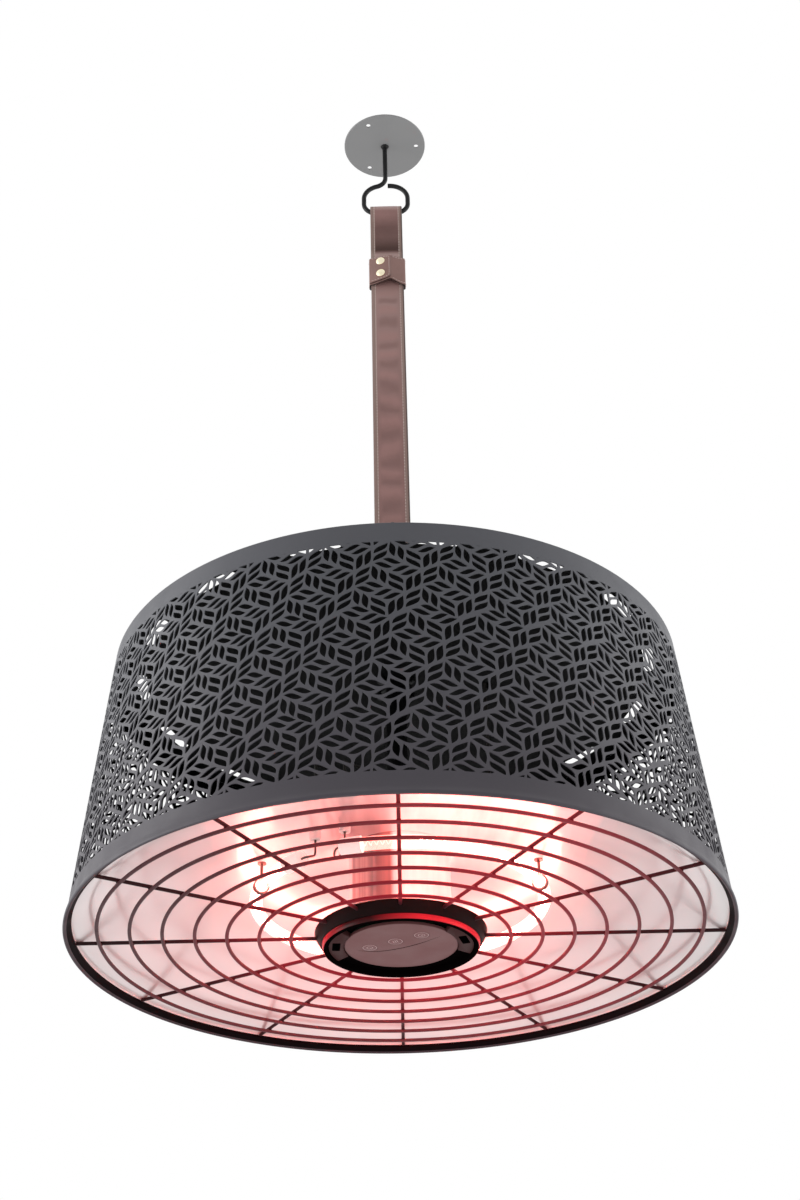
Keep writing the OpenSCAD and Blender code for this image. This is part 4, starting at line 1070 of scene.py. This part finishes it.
def build_hub():
    body = [(8, 10.0), (hub_r(10.0) - 2.2, 10.0), (hub_r(ACC) - 2.2, ACC), (hub_r(ACC), ACC), (hub_r(10.9), 10.9), (hub_r(11.7) - 0.9, 11.7), (8, 11.7)]
    o = lamp_lathe("hub_shell", fillet(body, [0.2, 0.3, 0, 0.25, 0.6, 0.5, 0.2], 4), [M["hub_black"]], 192, sharp=40)
    put(o, "lamp", "hub_housing", slot="hub_black")
    acc = [(hub_r(-3.8) - 1.8, -3.8), (hub_r(-3.8), -3.8), (hub_r(-3.8) + 1.2, ACC - 0.05), (hub_r(ACC) - 2.2, ACC - 0.05)]
    o = lamp_lathe("accent_band", fillet(acc, [0.1, 0.35, 0.2, 0.1], 3), [M["accent"]], 192, sharp=40)
    put(o, "lamp", "accent_ring", slot="accent_red")
    bez = [(51.8, 2.6), (66.0, 2.6), (66.0, HUB_Z0), (hub_r(HUB_Z0) - 0.5, HUB_Z0), (hub_r(-3.8) - 0.1, -3.85), (hub_r(-3.8) - 1.85, -3.85),
           (hub_r(ACC) - 2.3, ACC), (hub_r(4.2) - 2.5, 4.2), (51.8, 4.2)]
    o = lamp_lathe("bezel_ring", fillet(bez, [0.2, 0.8, 0.7, 0.6, 0.15, 0.1, 0.1, 0.2, 0.2], 4), [M["bezel"]], 192, sharp=40)
    put(o, "lamp", "hub_bezel", slot="bezel_black")


build_hub()

EAR_AT = (-176.0, -15.0)


def build_ears():
    g = Geo()
    for mid in EAR_AT:
        # outline in (azimuth, radius): the ends run out to a slant point at the outer ring
        n = 28
        out = []
        for k in range(n + 1):
            t = -1 + 2 * k / n
            out.append((mid + 31.5 * t, 65.6))
        for k in range(n + 1):
            t = 1 - 2 * k / n
            out.append((mid + 25.5 * t, 52.0))
        poly = [(r * math.cos(math.radians(a)), r * math.sin(math.radians(a))) for a, r in out]
        poly = fillet(poly, [1.2 if i in (0, n, n + 1, 2 * n + 1) else 0 for i in range(len(poly))], 3)
        s = slab_geo(poly, -2.4, 2.55, 0.45)
        g.add(s.v, s.f)
    o = g.moved(lamp_pt).make("panel_ear_pads", [M["ear"]], 40)
    put(o, "lamp", "panel_ears", slot="panel_mauve")
    g = Geo()
    for mid in EAR_AT:
        sq = fillet([(-3.6, -8.8), (3.6, -8.8), (3.6, 8.8), (-3.6, 8.8)], 0.9, 3)
        s = slab_geo(sq, -2.58, -1.3, 0.12, 2)
        a = math.radians(mid)
        s.moved(lambda x, y, z: ((58.7 + x) * math.cos(a) - y * math.sin(a), (58.7 + x) * math.sin(a) + y * math.cos(a), z))
        g.add(s.v, s.f)
    o = g.moved(lamp_pt).make("sensor_window_pair", [M["window"]], 40)
    put(o, "lamp", "sensor_windows", slot="window_dark")


build_ears()

TURN = math.radians(-30)
KEYS = [(1 + (k - 1) * 27, -12.0) for k in range(3)]


def panel_pt(u, v, z):
    return lamp_pt(u * math.cos(TURN) - v * math.sin(TURN), u * math.sin(TURN) + v * math.cos(TURN), z)


def ribbon(line, w):
    """A closed outline of width w along a line, pointed at both ends."""
    p = np.array(line, float)
    n = len(p)
    left, right = [], []
    for i in range(n):
        d = p[min(i + 1, n - 1)] - p[max(i - 1, 0)]
        d /= np.linalg.norm(d)
        nv = np.array((-d[1], d[0]))
        k = w / 2 * min(1.0, 3.0 * min(i, n - 1 - i) / n + 0.08)
        left.append(tuple(p[i] + nv * k))
        right.append(tuple(p[i] - nv * k))
    return right + left[::-1]


def build_panel():
    z = -1.1
    wave = smooth_line([(-39, -13.2), (-36.5, -10.5), (-29, -3.5), (-20, 1.0), (-8, 3.6), (5, 4.4), (18, 3.6), (30, 1.6), (41.5, -0.9)], 8)
    groove = [tuple(map(float, p)) for p in ribbon(wave, 1.1)]
    if area_of(groove) < 0:
        groove = groove[::-1]
    rim = circle_pts(0, 0, 51.1, 160)
    holes = [circle_pts(u, v, 7.25, 60) for u, v in KEYS]
    pts, edges = [], []
    for loop in [rim, *holes, groove]:
        k = len(pts)
        pts.extend(Vector(p) for p in loop)
        edges.extend((k + i, k + (i + 1) % len(loop)) for i in range(len(loop)))
    co, _, tris, _, _, _ = delaunay_2d_cdt(pts, edges, [], 0, 1e-5)
    flat, sunk = [], []
    for t in tris:
        a, b, c = (co[i] for i in t)
        x, y = (a.x + b.x + c.x) / 3, (a.y + b.y + c.y) / 3
        if any(point_in(h, x, y) for h in holes) or math.hypot(x, y) > 51.2:
            continue
        ar = (b.x - a.x) * (c.y - a.y) - (c.x - a.x) * (b.y - a.y)
        t = t if ar < 0 else (t[0], t[2], t[1])  # seen from below
        (sunk if point_in(groove, x, y) else flat).append(t)
    n = len(co)
    verts = [(p.x, p.y, z) for p in co] + [(p.x, p.y, z + 0.55) for p in co] + [(p.x, p.y, 1.4) for p in co]
    flat, sunk = np.array(flat, int), np.array(sunk, int) + n

    def free(tri):
        e = np.concatenate([tri[:, [0, 1]], tri[:, [1, 2]], tri[:, [2, 0]]])
        have = {(int(a), int(b)) for a, b in e}
        return [(a, b) for a, b in have if (b, a) not in have]

    faces = [*map(tuple, flat), *map(tuple, sunk)]
    fm = [0] * len(flat) + [1] * len(sunk)
    low = {tuple(sorted((a - n, b - n))) for a, b in free(sunk)}
    for a, b in free(flat):
        if tuple(sorted((a, b))) in low:
            faces.append((b, a, a + n, b + n))
            fm.append(1)
        else:
            faces.append((b, a, a + 2 * n, b + 2 * n))
            fm.append(0)
    g = Geo()
    g.add(verts, faces, fm)
    # rolled outer edge
    e = lathe_geo(fillet([(50.9, 1.4), (50.9, z), (51.5, z), (51.5, 1.4)], [0, 0, 0.45, 0], 4), 160)
    g.add(e.v, e.f, 0)
    o = g.moved(panel_pt).make("control_panel_face", [M["panel"], M["bezel"]], 30)
    put(o, "lamp", "control_panel", slot="panel_mauve")


build_panel()


def arc_line(cx, cy, r, a0, a1, n=24):
    return [(cx + r * math.cos(math.radians(a0 + (a1 - a0) * k / n)), cy + r * math.sin(math.radians(a0 + (a1 - a0) * k / n))) for k in range(n + 1)]


def build_keys():
    z = -1.1
    # strokes of each sign: power, heat waves, timer
    signs = {
        "key_power": [arc_line(0, 0, 2.3, 120, 420), [(0, 0.6), (0, 3.1)]],
        "key_heat": [[(x + 0.45 * math.sin(t * 2 * math.pi), -2.3 + 4.6 * t) for t in [k / 14 for k in range(15)]] for x in (-1.7, 0, 1.7)],
        "key_timer": [arc_line(0, 0, 2.6, 0, 360, 36), [(0, 1.7), (0, 0), (1.3, -0.8)]],
    }
    for (u, v), name in zip(KEYS, signs):
        prof = fillet([(0.001, z), (7.0, z), (7.0, 1.6), (0.001, 1.6)], [0, 0.4, 0.1, 0], 4)
        cap = lathe_geo(prof, 72)
        foot = lathe_geo(fillet([(0.001, 1.55), (8.0, 1.6), (8.0, 2.2), (1.5, 2.2), (1.5, 3.3), (0.001, 3.3)], [0, 0.1, 0.2, 0.1, 0.2, 0], 2), 48)
        g = Geo()
        g.add(cap.v, cap.f, 0)
        g.add(foot.v, foot.f, 0)
        ring = lathe_geo([(6.0, z - 0.03), (6.5, z - 0.03), (6.5, z + 0.02), (6.0, z + 0.02)], 72)
        g.add(ring.v, ring.f, 1)
        for st in signs[name]:
            p = np.array(st, float) * 1.15
            n = len(p)
            left, right = [], []
            for i in range(n):
                d = p[min(i + 1, n - 1)] - p[max(i - 1, 0)]
                d /= np.linalg.norm(d)
                nv = np.array((-d[1], d[0])) * 0.26
                left.append(p[i] + nv)
                right.append(p[i] - nv)
            vv = [(a, b, z - 0.03) for a, b in left] + [(a, b, z - 0.03) for a, b in right]
            ff = [(i, i + 1, n + i + 1, n + i) for i in range(n - 1)]
            g.add(vv, ff, 1)
        g.moved(lambda x, y, q: panel_pt(u + x, v + y, q))
        o = g.make(name + "_cap", [M["key"], M["print"]], 40)
        put(o, name, name, slot="panel_mauve")


build_keys()


# ------------------------------------------------------------------ hook
def arc3(cx, cz, r, a0, a1, n):
    return [(cx + r * math.cos(math.radians(a0 + (a1 - a0) * k / n)), 0.0, cz + r * math.sin(math.radians(a0 + (a1 - a0) * k / n))) for k in range(n + 1)]


def build_hook():
    zc, hw = -96.0, 2.8
    up, low, s_r, half = 22.0, 16.0, 15.0, 26.5
    su, sl = half - up, half - low
    zu, zl = 24.4 - up, low - 22.7
    s_dx = s_r - su
    s_dz = math.sqrt((up + s_r) ** 2 - s_dx ** 2)
    rod = zc + zu + s_dz
    ang = math.degrees(math.atan2(s_dz, s_dx))
    pts = [(0, 0, -2.2), (0, 0, -20.0), (0, 0, -40.0)]
    pts += arc3(-s_r, rod, s_r, 0, -ang, 14)
    pts += arc3(-su, zc + zu, up, 180 - ang, 180, 16)[1:]
    pts += arc3(-sl, zc + zl, low, 180, 270, 16)
    pts += arc3(sl, zc + zl, low, 270, 360, 16)
    pts += arc3(su, zc + zu, up, 0, 90, 18)
    pts += [(3.6, 0, zc + 24.4), (2.9, 0, zc + 24.4), (2.6, 0, zc + 24.4)]
    keep = [pts[0]]
    for p in pts[1:]:
        if np.linalg.norm(np.array(p) - np.array(keep[-1])) > 0.05:
            keep.append(p)
    rad = [hw] * len(keep)
    rad[-1], rad[-2] = hw - 0.35, hw
    g = tube_geo(keep, rad, 24)
    weld = lathe_geo(fillet([(0.001, -2.0), (5.0, -2.0), (4.2, -2.9), (3.1, -4.6), (2.75, -6.4), (0.001, -6.4)], [0, 0.2, 0.8, 1.0, 0.5, 0], 3), 32)
    rng = np.random.default_rng(4)
    wob = rng.uniform(-0.18, 0.18, 33)

    def uneven(x, y, z):
        a = math.atan2(y, x)
        k = int((a + math.pi) / (2 * math.pi) * 32) % 32
        r = math.hypot(x, y)
        return (x * (1 + wob[k] * 0.4 * (r > 2.9)), y * (1 + wob[k] * 0.4 * (r > 2.9)), z)

    weld.moved(uneven)
    g.add(weld.v, weld.f)
    g.moved(lambda x, y, z: (x / 1000, y / 1000, z / 1000))
    o = g.make("hook_wire", [M["hook"]], 50)
    put(o, "ceiling_mount", "hook", slot="hook_paint")


build_hook()

# ------------------------------------------------------------------ strap
STRAP_W, STRAP_T = 38.0, 2.4
LOOP_IN, LOW_IN = 4.75, 5.08
LOOP_Z, PIN_Z = -117.15, -752.0
MID_W = 0.3 + STRAP_T
JOIN_TOP, JOIN_LOW = LOOP_Z - 70, PIN_Z + 60


def smooth01(t):
    t = max(0.0, min(1.0, t))
    return t * t * (3 - 2 * t)


def strap_half(z):
    if z > JOIN_TOP:
        return MID_W + (LOOP_IN + STRAP_T - MID_W) * smooth01((z - JOIN_TOP) / (LOOP_Z - JOIN_TOP))
    if z < JOIN_LOW:
        return MID_W + (LOW_IN + STRAP_T - MID_W) * smooth01((JOIN_LOW - z) / (JOIN_LOW - PIN_Z))
    return MID_W


def strap_path():
    """The middle of the leather in (y, z): up the back, over the hook, down the front, round the pin."""
    half_t = STRAP_T / 2
    zs_top = [LOOP_Z - 70 * k / 24 for k in range(25)]
    zs_mid = list(np.linspace(JOIN_TOP, JOIN_LOW, 110))[1:-1]
    zs_low = [JOIN_LOW - 60 * k / 20 for k in range(21)]
    zs = zs_top + zs_mid + zs_low
    front = []
    for z in zs:
        y = -(strap_half(z) - half_t)
        # the front layer stands off a little above the keeper
        y -= 1.1 * math.exp(-((z + 176) / 13.0) ** 2)
        front.append((y, z))
    back = [(strap_half(z) - half_t, z) for z in zs[::-1]]
    r1, r2 = LOOP_IN + half_t, LOW_IN + half_t
    top = [(r1 * math.cos(math.pi * k / 20), LOOP_Z + r1 * math.sin(math.pi * k / 20)) for k in range(1, 20)]
    low = [(-r2 * math.cos(math.pi * k / 20), PIN_Z - r2 * math.sin(math.pi * k / 20)) for k in range(1, 20)]
    return top + front + low + back


def strap_frame():
    p = np.array(strap_path(), float)
    n = len(p)
    t = np.roll(p, -1, 0) - np.roll(p, 1, 0)
    t /= np.linalg.norm(t, axis=1)[:, None]
    # top goes from +y over to -y, so this normal points away from the loop's inside
    nv = np.stack([-t[:, 1], t[:, 0]], 1)
    mid = np.array((0.0, (LOOP_Z + PIN_Z) / 2))
    if (nv[np.argmin(p[:, 0])] @ np.array((-1.0, 0.0))) < 0:
        nv = -nv
    return p, t, nv, mid


def build_strap():
    p, t, nv, _ = strap_frame()
    n = len(p)
    h, w = STRAP_T / 2, STRAP_W / 2
    sec = []
    xs = [-w + 0.5, -17.6, -16.4, -15.1, -14.4, -13.7, -13.0, -10.5, -7, -3.5, 0, 3.5, 7, 10.5, 13.0, 13.7, 14.4, 15.1, 16.4, 17.6, w - 0.5]
    for x in xs:
        d = h
        ax = abs(x)
        if ax < 13.5:
            d = h + 0.12 * (1 - (ax / 13.5) ** 2)
        elif 13.5 < ax < 15.3:
            d = h - 0.34 if abs(ax - 14.4) < 0.3 else h - 0.08
        elif ax > 17.9:
            d = h - 0.12
        sec.append((x, d))
    sec += [(w - 0.12, h - 0.55), (w, 0.0), (w - 0.12, -h + 0.55), (w - 0.5, -h + 0.1)]
    sec += [(x, -h) for x in (14, 7, 0, -7, -14)]
    sec += [(-w + 0.5, -h + 0.1), (-w + 0.12, -h + 0.55), (-w, 0.0), (-w + 0.12, h - 0.55)]
    k = len(sec)
    verts = []
    for i in range(n):
        for x, d in sec:
            q = p[i] + nv[i] * d
            verts.append((x / 1000, q[0] / 1000, q[1] / 1000))
    faces = []
    for i in range(n):
        j = (i + 1) % n
        for a in range(k):
            b = (a + 1) % k
            faces.append((i * k + a, i * k + b, j * k + b, j * k + a))
    o = mesh_object("strap_leather_loop", verts, faces, [M["strap"]], None, 50)
    me = o.data
    # face the outside
    c = np.array([f.center[:] for f in me.polygons[:1]])[0]
    nrm = np.array(me.polygons[9].normal[:])
    out = np.array((0, nv[0][0], nv[0][1]))
    if nrm @ out < 0:
        me.flip_normals()
    put(o, "strap", "strap", slot="strap_leather")
    # stitches
    seg = np.linalg.norm(np.roll(p, -1, 0) - p, axis=1)
    total = seg.sum()
    cum = np.concatenate([[0], np.cumsum(seg)])

    def at(s):
        s %= total
        i = int(np.searchsorted(cum, s, "right") - 1) % n
        f = (s - cum[i]) / seg[i]
        j = (i + 1) % n
        q = p[i] * (1 - f) + p[j] * f
        m = nv[i] * (1 - f) + nv[j] * f
        return q, m / np.linalg.norm(m)

    g = Geo()
    count = int(total / 4.1)
    for side in (-1, 1):
        for c in range(count):
            s0 = total * (c + 0.25 * (side > 0)) / count
            pts, rad = [], []
            for q in range(6):
                f = q / 5
                pt, m = at(s0 + 2.7 * f)
                lift = h - 0.42 + 0.3 * math.sin(math.pi * f)
                pts.append((side * 14.4 + 0.1 * (f - 0.5) * side, pt[0] + m[0] * lift, pt[1] + m[1] * lift))
                rad.append(0.4 * (0.6 + 0.4 * math.sin(math.pi * f)))
            tg = tube_geo(pts, rad, 6)
            g.add([(a / 1000, b / 1000, z / 1000) for a, b, z in tg.v], tg.f)
    o = g.make("strap_stitching", [M["thread"]], 60)
    put(o, "strap")


build_strap()

# ------------------------------------------------------------------ keeper
KEEP_TOP, KEEP_H, KEEP_T = -199.0, 42.0, 2.0
KEEP_IX, KEEP_IY = STRAP_W + 0.6, 2 * MID_W + 0.6
BULGE, RIDGE = 6.0, 3.5
FACE_TURN = -math.atan2(BULGE, KEEP_IX / 2 + RIDGE)
TAB_T = 1.8


def keeper_loop(off):
    """Closed outline of the loop in (x, y), off mm out from its inner face; the front stands off in a blunt ridge."""
    hx, hy = KEEP_IX / 2, KEEP_IY / 2
    poly = [(-hx, -hy), (RIDGE, -hy - BULGE), (hx, -hy), (hx, hy), (-hx, hy)]
    cuts = [12, 10, 2, 10, 2]
    n = len(poly)
    nrm = []
    for i in range(n):
        a, b = poly[i], poly[(i + 1) % n]
        d = math.hypot(b[0] - a[0], b[1] - a[1])
        nrm.append(((b[1] - a[1]) / d, -(b[0] - a[0]) / d))
    out = []
    for i in range(n):
        p, m0, m1 = poly[i], nrm[i - 1], nrm[i]
        a0, a1 = math.atan2(m0[1], m0[0]), math.atan2(m1[1], m1[0])
        while a1 < a0:
            a1 += 2 * math.pi
        for k in range(6):
            t = a0 + (a1 - a0) * k / 5
            out.append((p[0] + off * math.cos(t), p[1] + off * math.sin(t), i))
        q = poly[(i + 1) % n]
        for k in range(1, cuts[i]):
            f = k / cuts[i]
            out.append((p[0] + (q[0] - p[0]) * f + off * m1[0], p[1] + (q[1] - p[1]) * f + off * m1[1], i))
    return out


def lower_rise(x, y):
    """The front's lower edge rises towards the ridge."""
    if y > -KEEP_IY / 2 + 0.4:
        return 0.0
    hx = KEEP_IX / 2 - 1
    f = (x + hx) / (hx + RIDGE) if x < RIDGE else (hx - x) / (hx - RIDGE)
    return max(0.0, -1 + 6 * f)


def on_face(u, w, z):
    """u runs along the tab's side of the front, w out of it (mm)."""
    c, s = math.cos(FACE_TURN), math.sin(FACE_TURN)
    return (-KEEP_IX / 2 + u * c + w * s, -KEEP_IY / 2 + u * s - w * c, z)


def stitch_run(line, normal, thread=0.34, pitch=3.4, length=2.5):
    """Stitches along a line of 3-D points (mm), lying on a face whose outward normal is given."""
    p = np.array(line, float)
    seg = np.linalg.norm(p[1:] - p[:-1], axis=1)
    cum = np.concatenate([[0], np.cumsum(seg)])
    total = cum[-1]
    nv = np.array(normal, float)
    g = Geo()
    count = max(1, int(total / pitch))
    for c in range(count):
        s0 = total * (c + 0.12) / count
        pts, rad = [], []
        for q in range(6):
            f = q / 5
            s = min(total, s0 + length * f)
            i = min(len(seg) - 1, int(np.searchsorted(cum, s, "right") - 1))
            w = (s - cum[i]) / seg[i]
            m = nv if nv.ndim == 1 else nv[i]
            pts.append(p[i] * (1 - w) + p[i + 1] * w + m * (0.26 * math.sin(math.pi * f) - 0.12))
            rad.append(thread * (0.55 + 0.45 * math.sin(math.pi * f)))
        t = tube_geo(pts, rad, 6)
        g.add(t.v, t.f)
    return g


def build_keeper():
    z0, z1 = KEEP_TOP - KEEP_H, KEEP_TOP
    zs = [0, 0.25, 0.9, 1.9, 2.4, 2.9, 6, 10, 14, 20, 26, 32, 36, 39.1, 39.6, 40.1, 41.1, 41.75, 42]
    rows = []
    for z in zs:
        e = min(z, KEEP_H - z)
        off = KEEP_T - (0.75 if e < 0.1 else 0.3 if e < 0.4 else 0.06 if e < 1 else 0.0)
        if 2.2 < e < 2.6:
            off -= 0.14
        rows.append((off, z))
    rows += [(0.75, KEEP_H), (0.25, KEEP_H - 0.3), (0.03, KEEP_H - 1.0), (0.02, KEEP_H - 10), (0.02, 10), (0.03, 1.0), (0.25, 0.3), (0.75, 0)]
    verts, faces = [], []
    for off, z in rows:
        for x, y, _ in keeper_loop(off):
            r = lower_rise(x, y) * max(0.0, 1 - z / 18.0)
            verts.append((x, y, z0 + z + r))
    n, k = len(keeper_loop(1.0)), len(rows)
    for i in range(k):
        j = (i + 1) % k
        for a in range(n):
            b = (a + 1) % n
            faces.append((i * n + a, i * n + b, j * n + b, j * n + a))
    g = Geo()
    # the cut edges are darker, and the inside is painted dark as shade
    g.add(verts, faces, [1 if i < 1 or i >= 17 else 0 for i in range(k) for a in range(n)])
    out = fillet([(-0.9, 1.2), (20, 5.4), (23.6, 7.0), (25, 10), (25, KEEP_H - 1.5), (-0.9, KEEP_H - 1.5)], [1.0, 3.0, 3.0, 3.0, 2.0, 1.0], 6)
    tab = slab_geo(out, KEEP_T - 0.05, KEEP_T + TAB_T, 0.5, 4)

    def place(u, z, w):
        # the left end curves back round the loop's edge
        back = max(0.0, 0.9 - u)
        x, y, zz = on_face(u, w, z0 + z)
        return (x, y + 0.45 * back ** 2, zz)

    side = [1 if sum(tab.v[q][2] for q in f) / len(f) < KEEP_T + TAB_T - 0.42 else 0 for f in tab.f]
    tab.moved(place)
    g.add(tab.v, tab.f, side)
    g.moved(lambda x, y, z: (x / 1000, y / 1000, z / 1000))
    o = g.make("keeper_sleeve", [M["keeper"], M["keeper_edge"]], 45)
    put(o, "keeper", "strap_keeper", slot="keeper_leather")
    # stitching near both edges of the loop where the tab leaves it free, and round the tab's own edge
    st = Geo()
    full = [q for q in keeper_loop(KEEP_T + 0.0) if not (q[2] == 0 and q[0] < RIDGE + 1.0) and not (q[2] == 1 and q[0] < RIDGE + 1.2)]
    start = next(i for i, q in enumerate(full) if q[2] == 1)
    full = full[start:] + full[:start]
    for zz in (2.4, KEEP_H - 2.4):
        pts, nvs = [], []
        for i in range(len(full)):
            x, y, _ = full[i]
            a, b = full[max(i - 1, 0)], full[min(i + 1, len(full) - 1)]
            d = np.array((b[0] - a[0], b[1] - a[1]))
            if np.linalg.norm(d) < 1e-6:
                continue
            d /= np.linalg.norm(d)
            if pts and math.hypot(pts[-1][0] - x, pts[-1][1] - y) < 0.02:
                continue
            pts.append((x, y, z0 + zz + lower_rise(x, y) * max(0.0, 1 - zz / 18.0)))
            nvs.append((d[1], -d[0], 0))
        t = stitch_run(pts, np.array(nvs))
        st.add(t.v, t.f)
    edge = smooth_line([(1.5, 3.4), (10, 5.2), (19.2, 7.2), (22.2, 8.6), (23.2, 11.4), (23.2, 25), (23.2, KEEP_H - 4.6), (22.2, KEEP_H - 3.3), (19.5, KEEP_H - 3.2), (1.5, KEEP_H - 3.2)], 6)
    w = np.array(on_face(0, 1, 0)) - np.array(on_face(0, 0, 0))
    t = stitch_run([on_face(float(u), KEEP_T + TAB_T - 0.02, z0 + float(z)) for u, z in edge], w)
    st.add(t.v, t.f)
    st.moved(lambda x, y, z: (x / 1000, y / 1000, z / 1000))
    o = st.make("keeper_stitching", [M["thread"]], 60)
    put(o, "keeper")
    # snaps: domed caps with a rolled edge
    g = Geo()
    for z in (KEEP_TOP - 9, KEEP_TOP - 28):
        prof = fillet([(0.001, 0.0), (5.1, 0.0), (5.2, 0.5), (4.75, 1.0), (4.25, 0.92), (3.7, 1.35), (2.5, 1.85), (1.1, 2.05), (0.001, 2.1)],
                      [0, 0.2, 0.25, 0.25, 0.2, 0.4, 0.8, 0.5, 0], 3)
        d = lathe_geo(prof, 48)
        d.moved(lambda a, b, c: tuple(q / 1000 for q in on_face(12.8 + a, KEEP_T + TAB_T + c, z + b)))
        g.add(d.v, [f[::-1] for f in d.f])
    o = g.make("keeper_snap_caps", [M["brass"]], 40)
    put(o, "keeper", "keeper_snaps", slot="brass")


build_keeper()

# ------------------------------------------------------------------ CAD nodes that stay
STAY = {
    "ceiling_plate": "plate", "hanger_bracket": "bracket", "hanger_pin": "zinc", "pin_clip": "zinc", "bracket_bolts": "zinc",
    "bracket_nuts": "zinc", "top_cover": "cover", "cover_screws": "cover", "stem_tube": "bracket", "stem_nuts": "zinc", "stem_screws": "zinc",
    "feed_bushings": "ceramic", "tube_end_caps": "ceramic_painted_glow", "tube_clips": "steel_wire", "circuit_board": "board",
    "terminal_box": "box", "box_lid": "box", "lid_screws": "zinc", "terminal_block": "terminal", "cable_gland": "gland",
    "gland_seal": "seal", "gland_nut": "gland", "gland_locknut": "gland", "inner_leads": "sleeve",
}
for name, key in STAY.items():
    N[name].data.materials.clear()
    N[name].data.materials.append(M[key])
left = [n for n in N if n not in STAY and not N[n].hide_render]
if left:
    raise RuntimeError(f"CAD nodes without a finish: {left}")


# ------------------------------------------------------------------ floor and light
def build_floor():
    s = 9.0
    z = -3.9
    o = mesh_object("studio_floor", [(-s, -s, z), (s, -s, z), (s, s, z), (-s, s, z)], [(0, 1, 2, 3)], [coated("floor_pale", (0.86, 0.86, 0.86), 0.7, 0.02, 3, 0.1)], None, None)


build_floor()


def build_world():
    w = bpy.data.worlds.new("studio")
    scene.world = w
    w.use_nodes = True
    nt = w.node_tree
    bg = nt.nodes["Background"]
    bg.inputs["Color"].default_value = (1, 1, 1, 1)
    tc = nt.nodes.new("ShaderNodeTexCoord")
    sp = nt.nodes.new("ShaderNodeSeparateXYZ")
    nt.links.new(tc.outputs["Generated"], sp.inputs[0])
    m = nt.nodes.new("ShaderNodeMapRange")
    m.interpolation_type = "SMOOTHSTEP"
    m.inputs["From Min"].default_value = -0.9
    m.inputs["From Max"].default_value = 0.35
    m.inputs["To Min"].default_value = 0.42
    m.inputs["To Max"].default_value = 1.0
    nt.links.new(sp.outputs["Y"], m.inputs["Value"])
    lp = nt.nodes.new("ShaderNodeLightPath")
    mx = nt.nodes.new("ShaderNodeMix")
    mx.data_type = "FLOAT"
    nt.links.new(lp.outputs["Is Camera Ray"], mx.inputs["Factor"])
    nt.links.new(m.outputs["Result"], mx.inputs[2])
    mx.inputs[3].default_value = 1.0
    nt.links.new(mx.outputs[0], bg.inputs["Strength"])


build_world()


def area(name, loc, aim, size, power, color=(1, 1, 1)):
    d = bpy.data.lights.new(name, "AREA")
    d.shape = "RECTANGLE"
    d.size, d.size_y = size
    d.energy = power
    d.color = color
    o = bpy.data.objects.new(name, d)
    scene.collection.objects.link(o)
    o.location = loc
    o.rotation_mode = "QUATERNION"
    o.rotation_quaternion = (Vector(aim) - Vector(loc)).to_track_quat("-Z", "Y")
    return o


area("side_left", (-2.6, -0.2, -0.5), (0, 0, -0.8), (1.6, 2.4), 30)
area("side_right", (2.6, -0.2, -0.5), (0, 0, -0.8), (1.6, 2.4), 15)
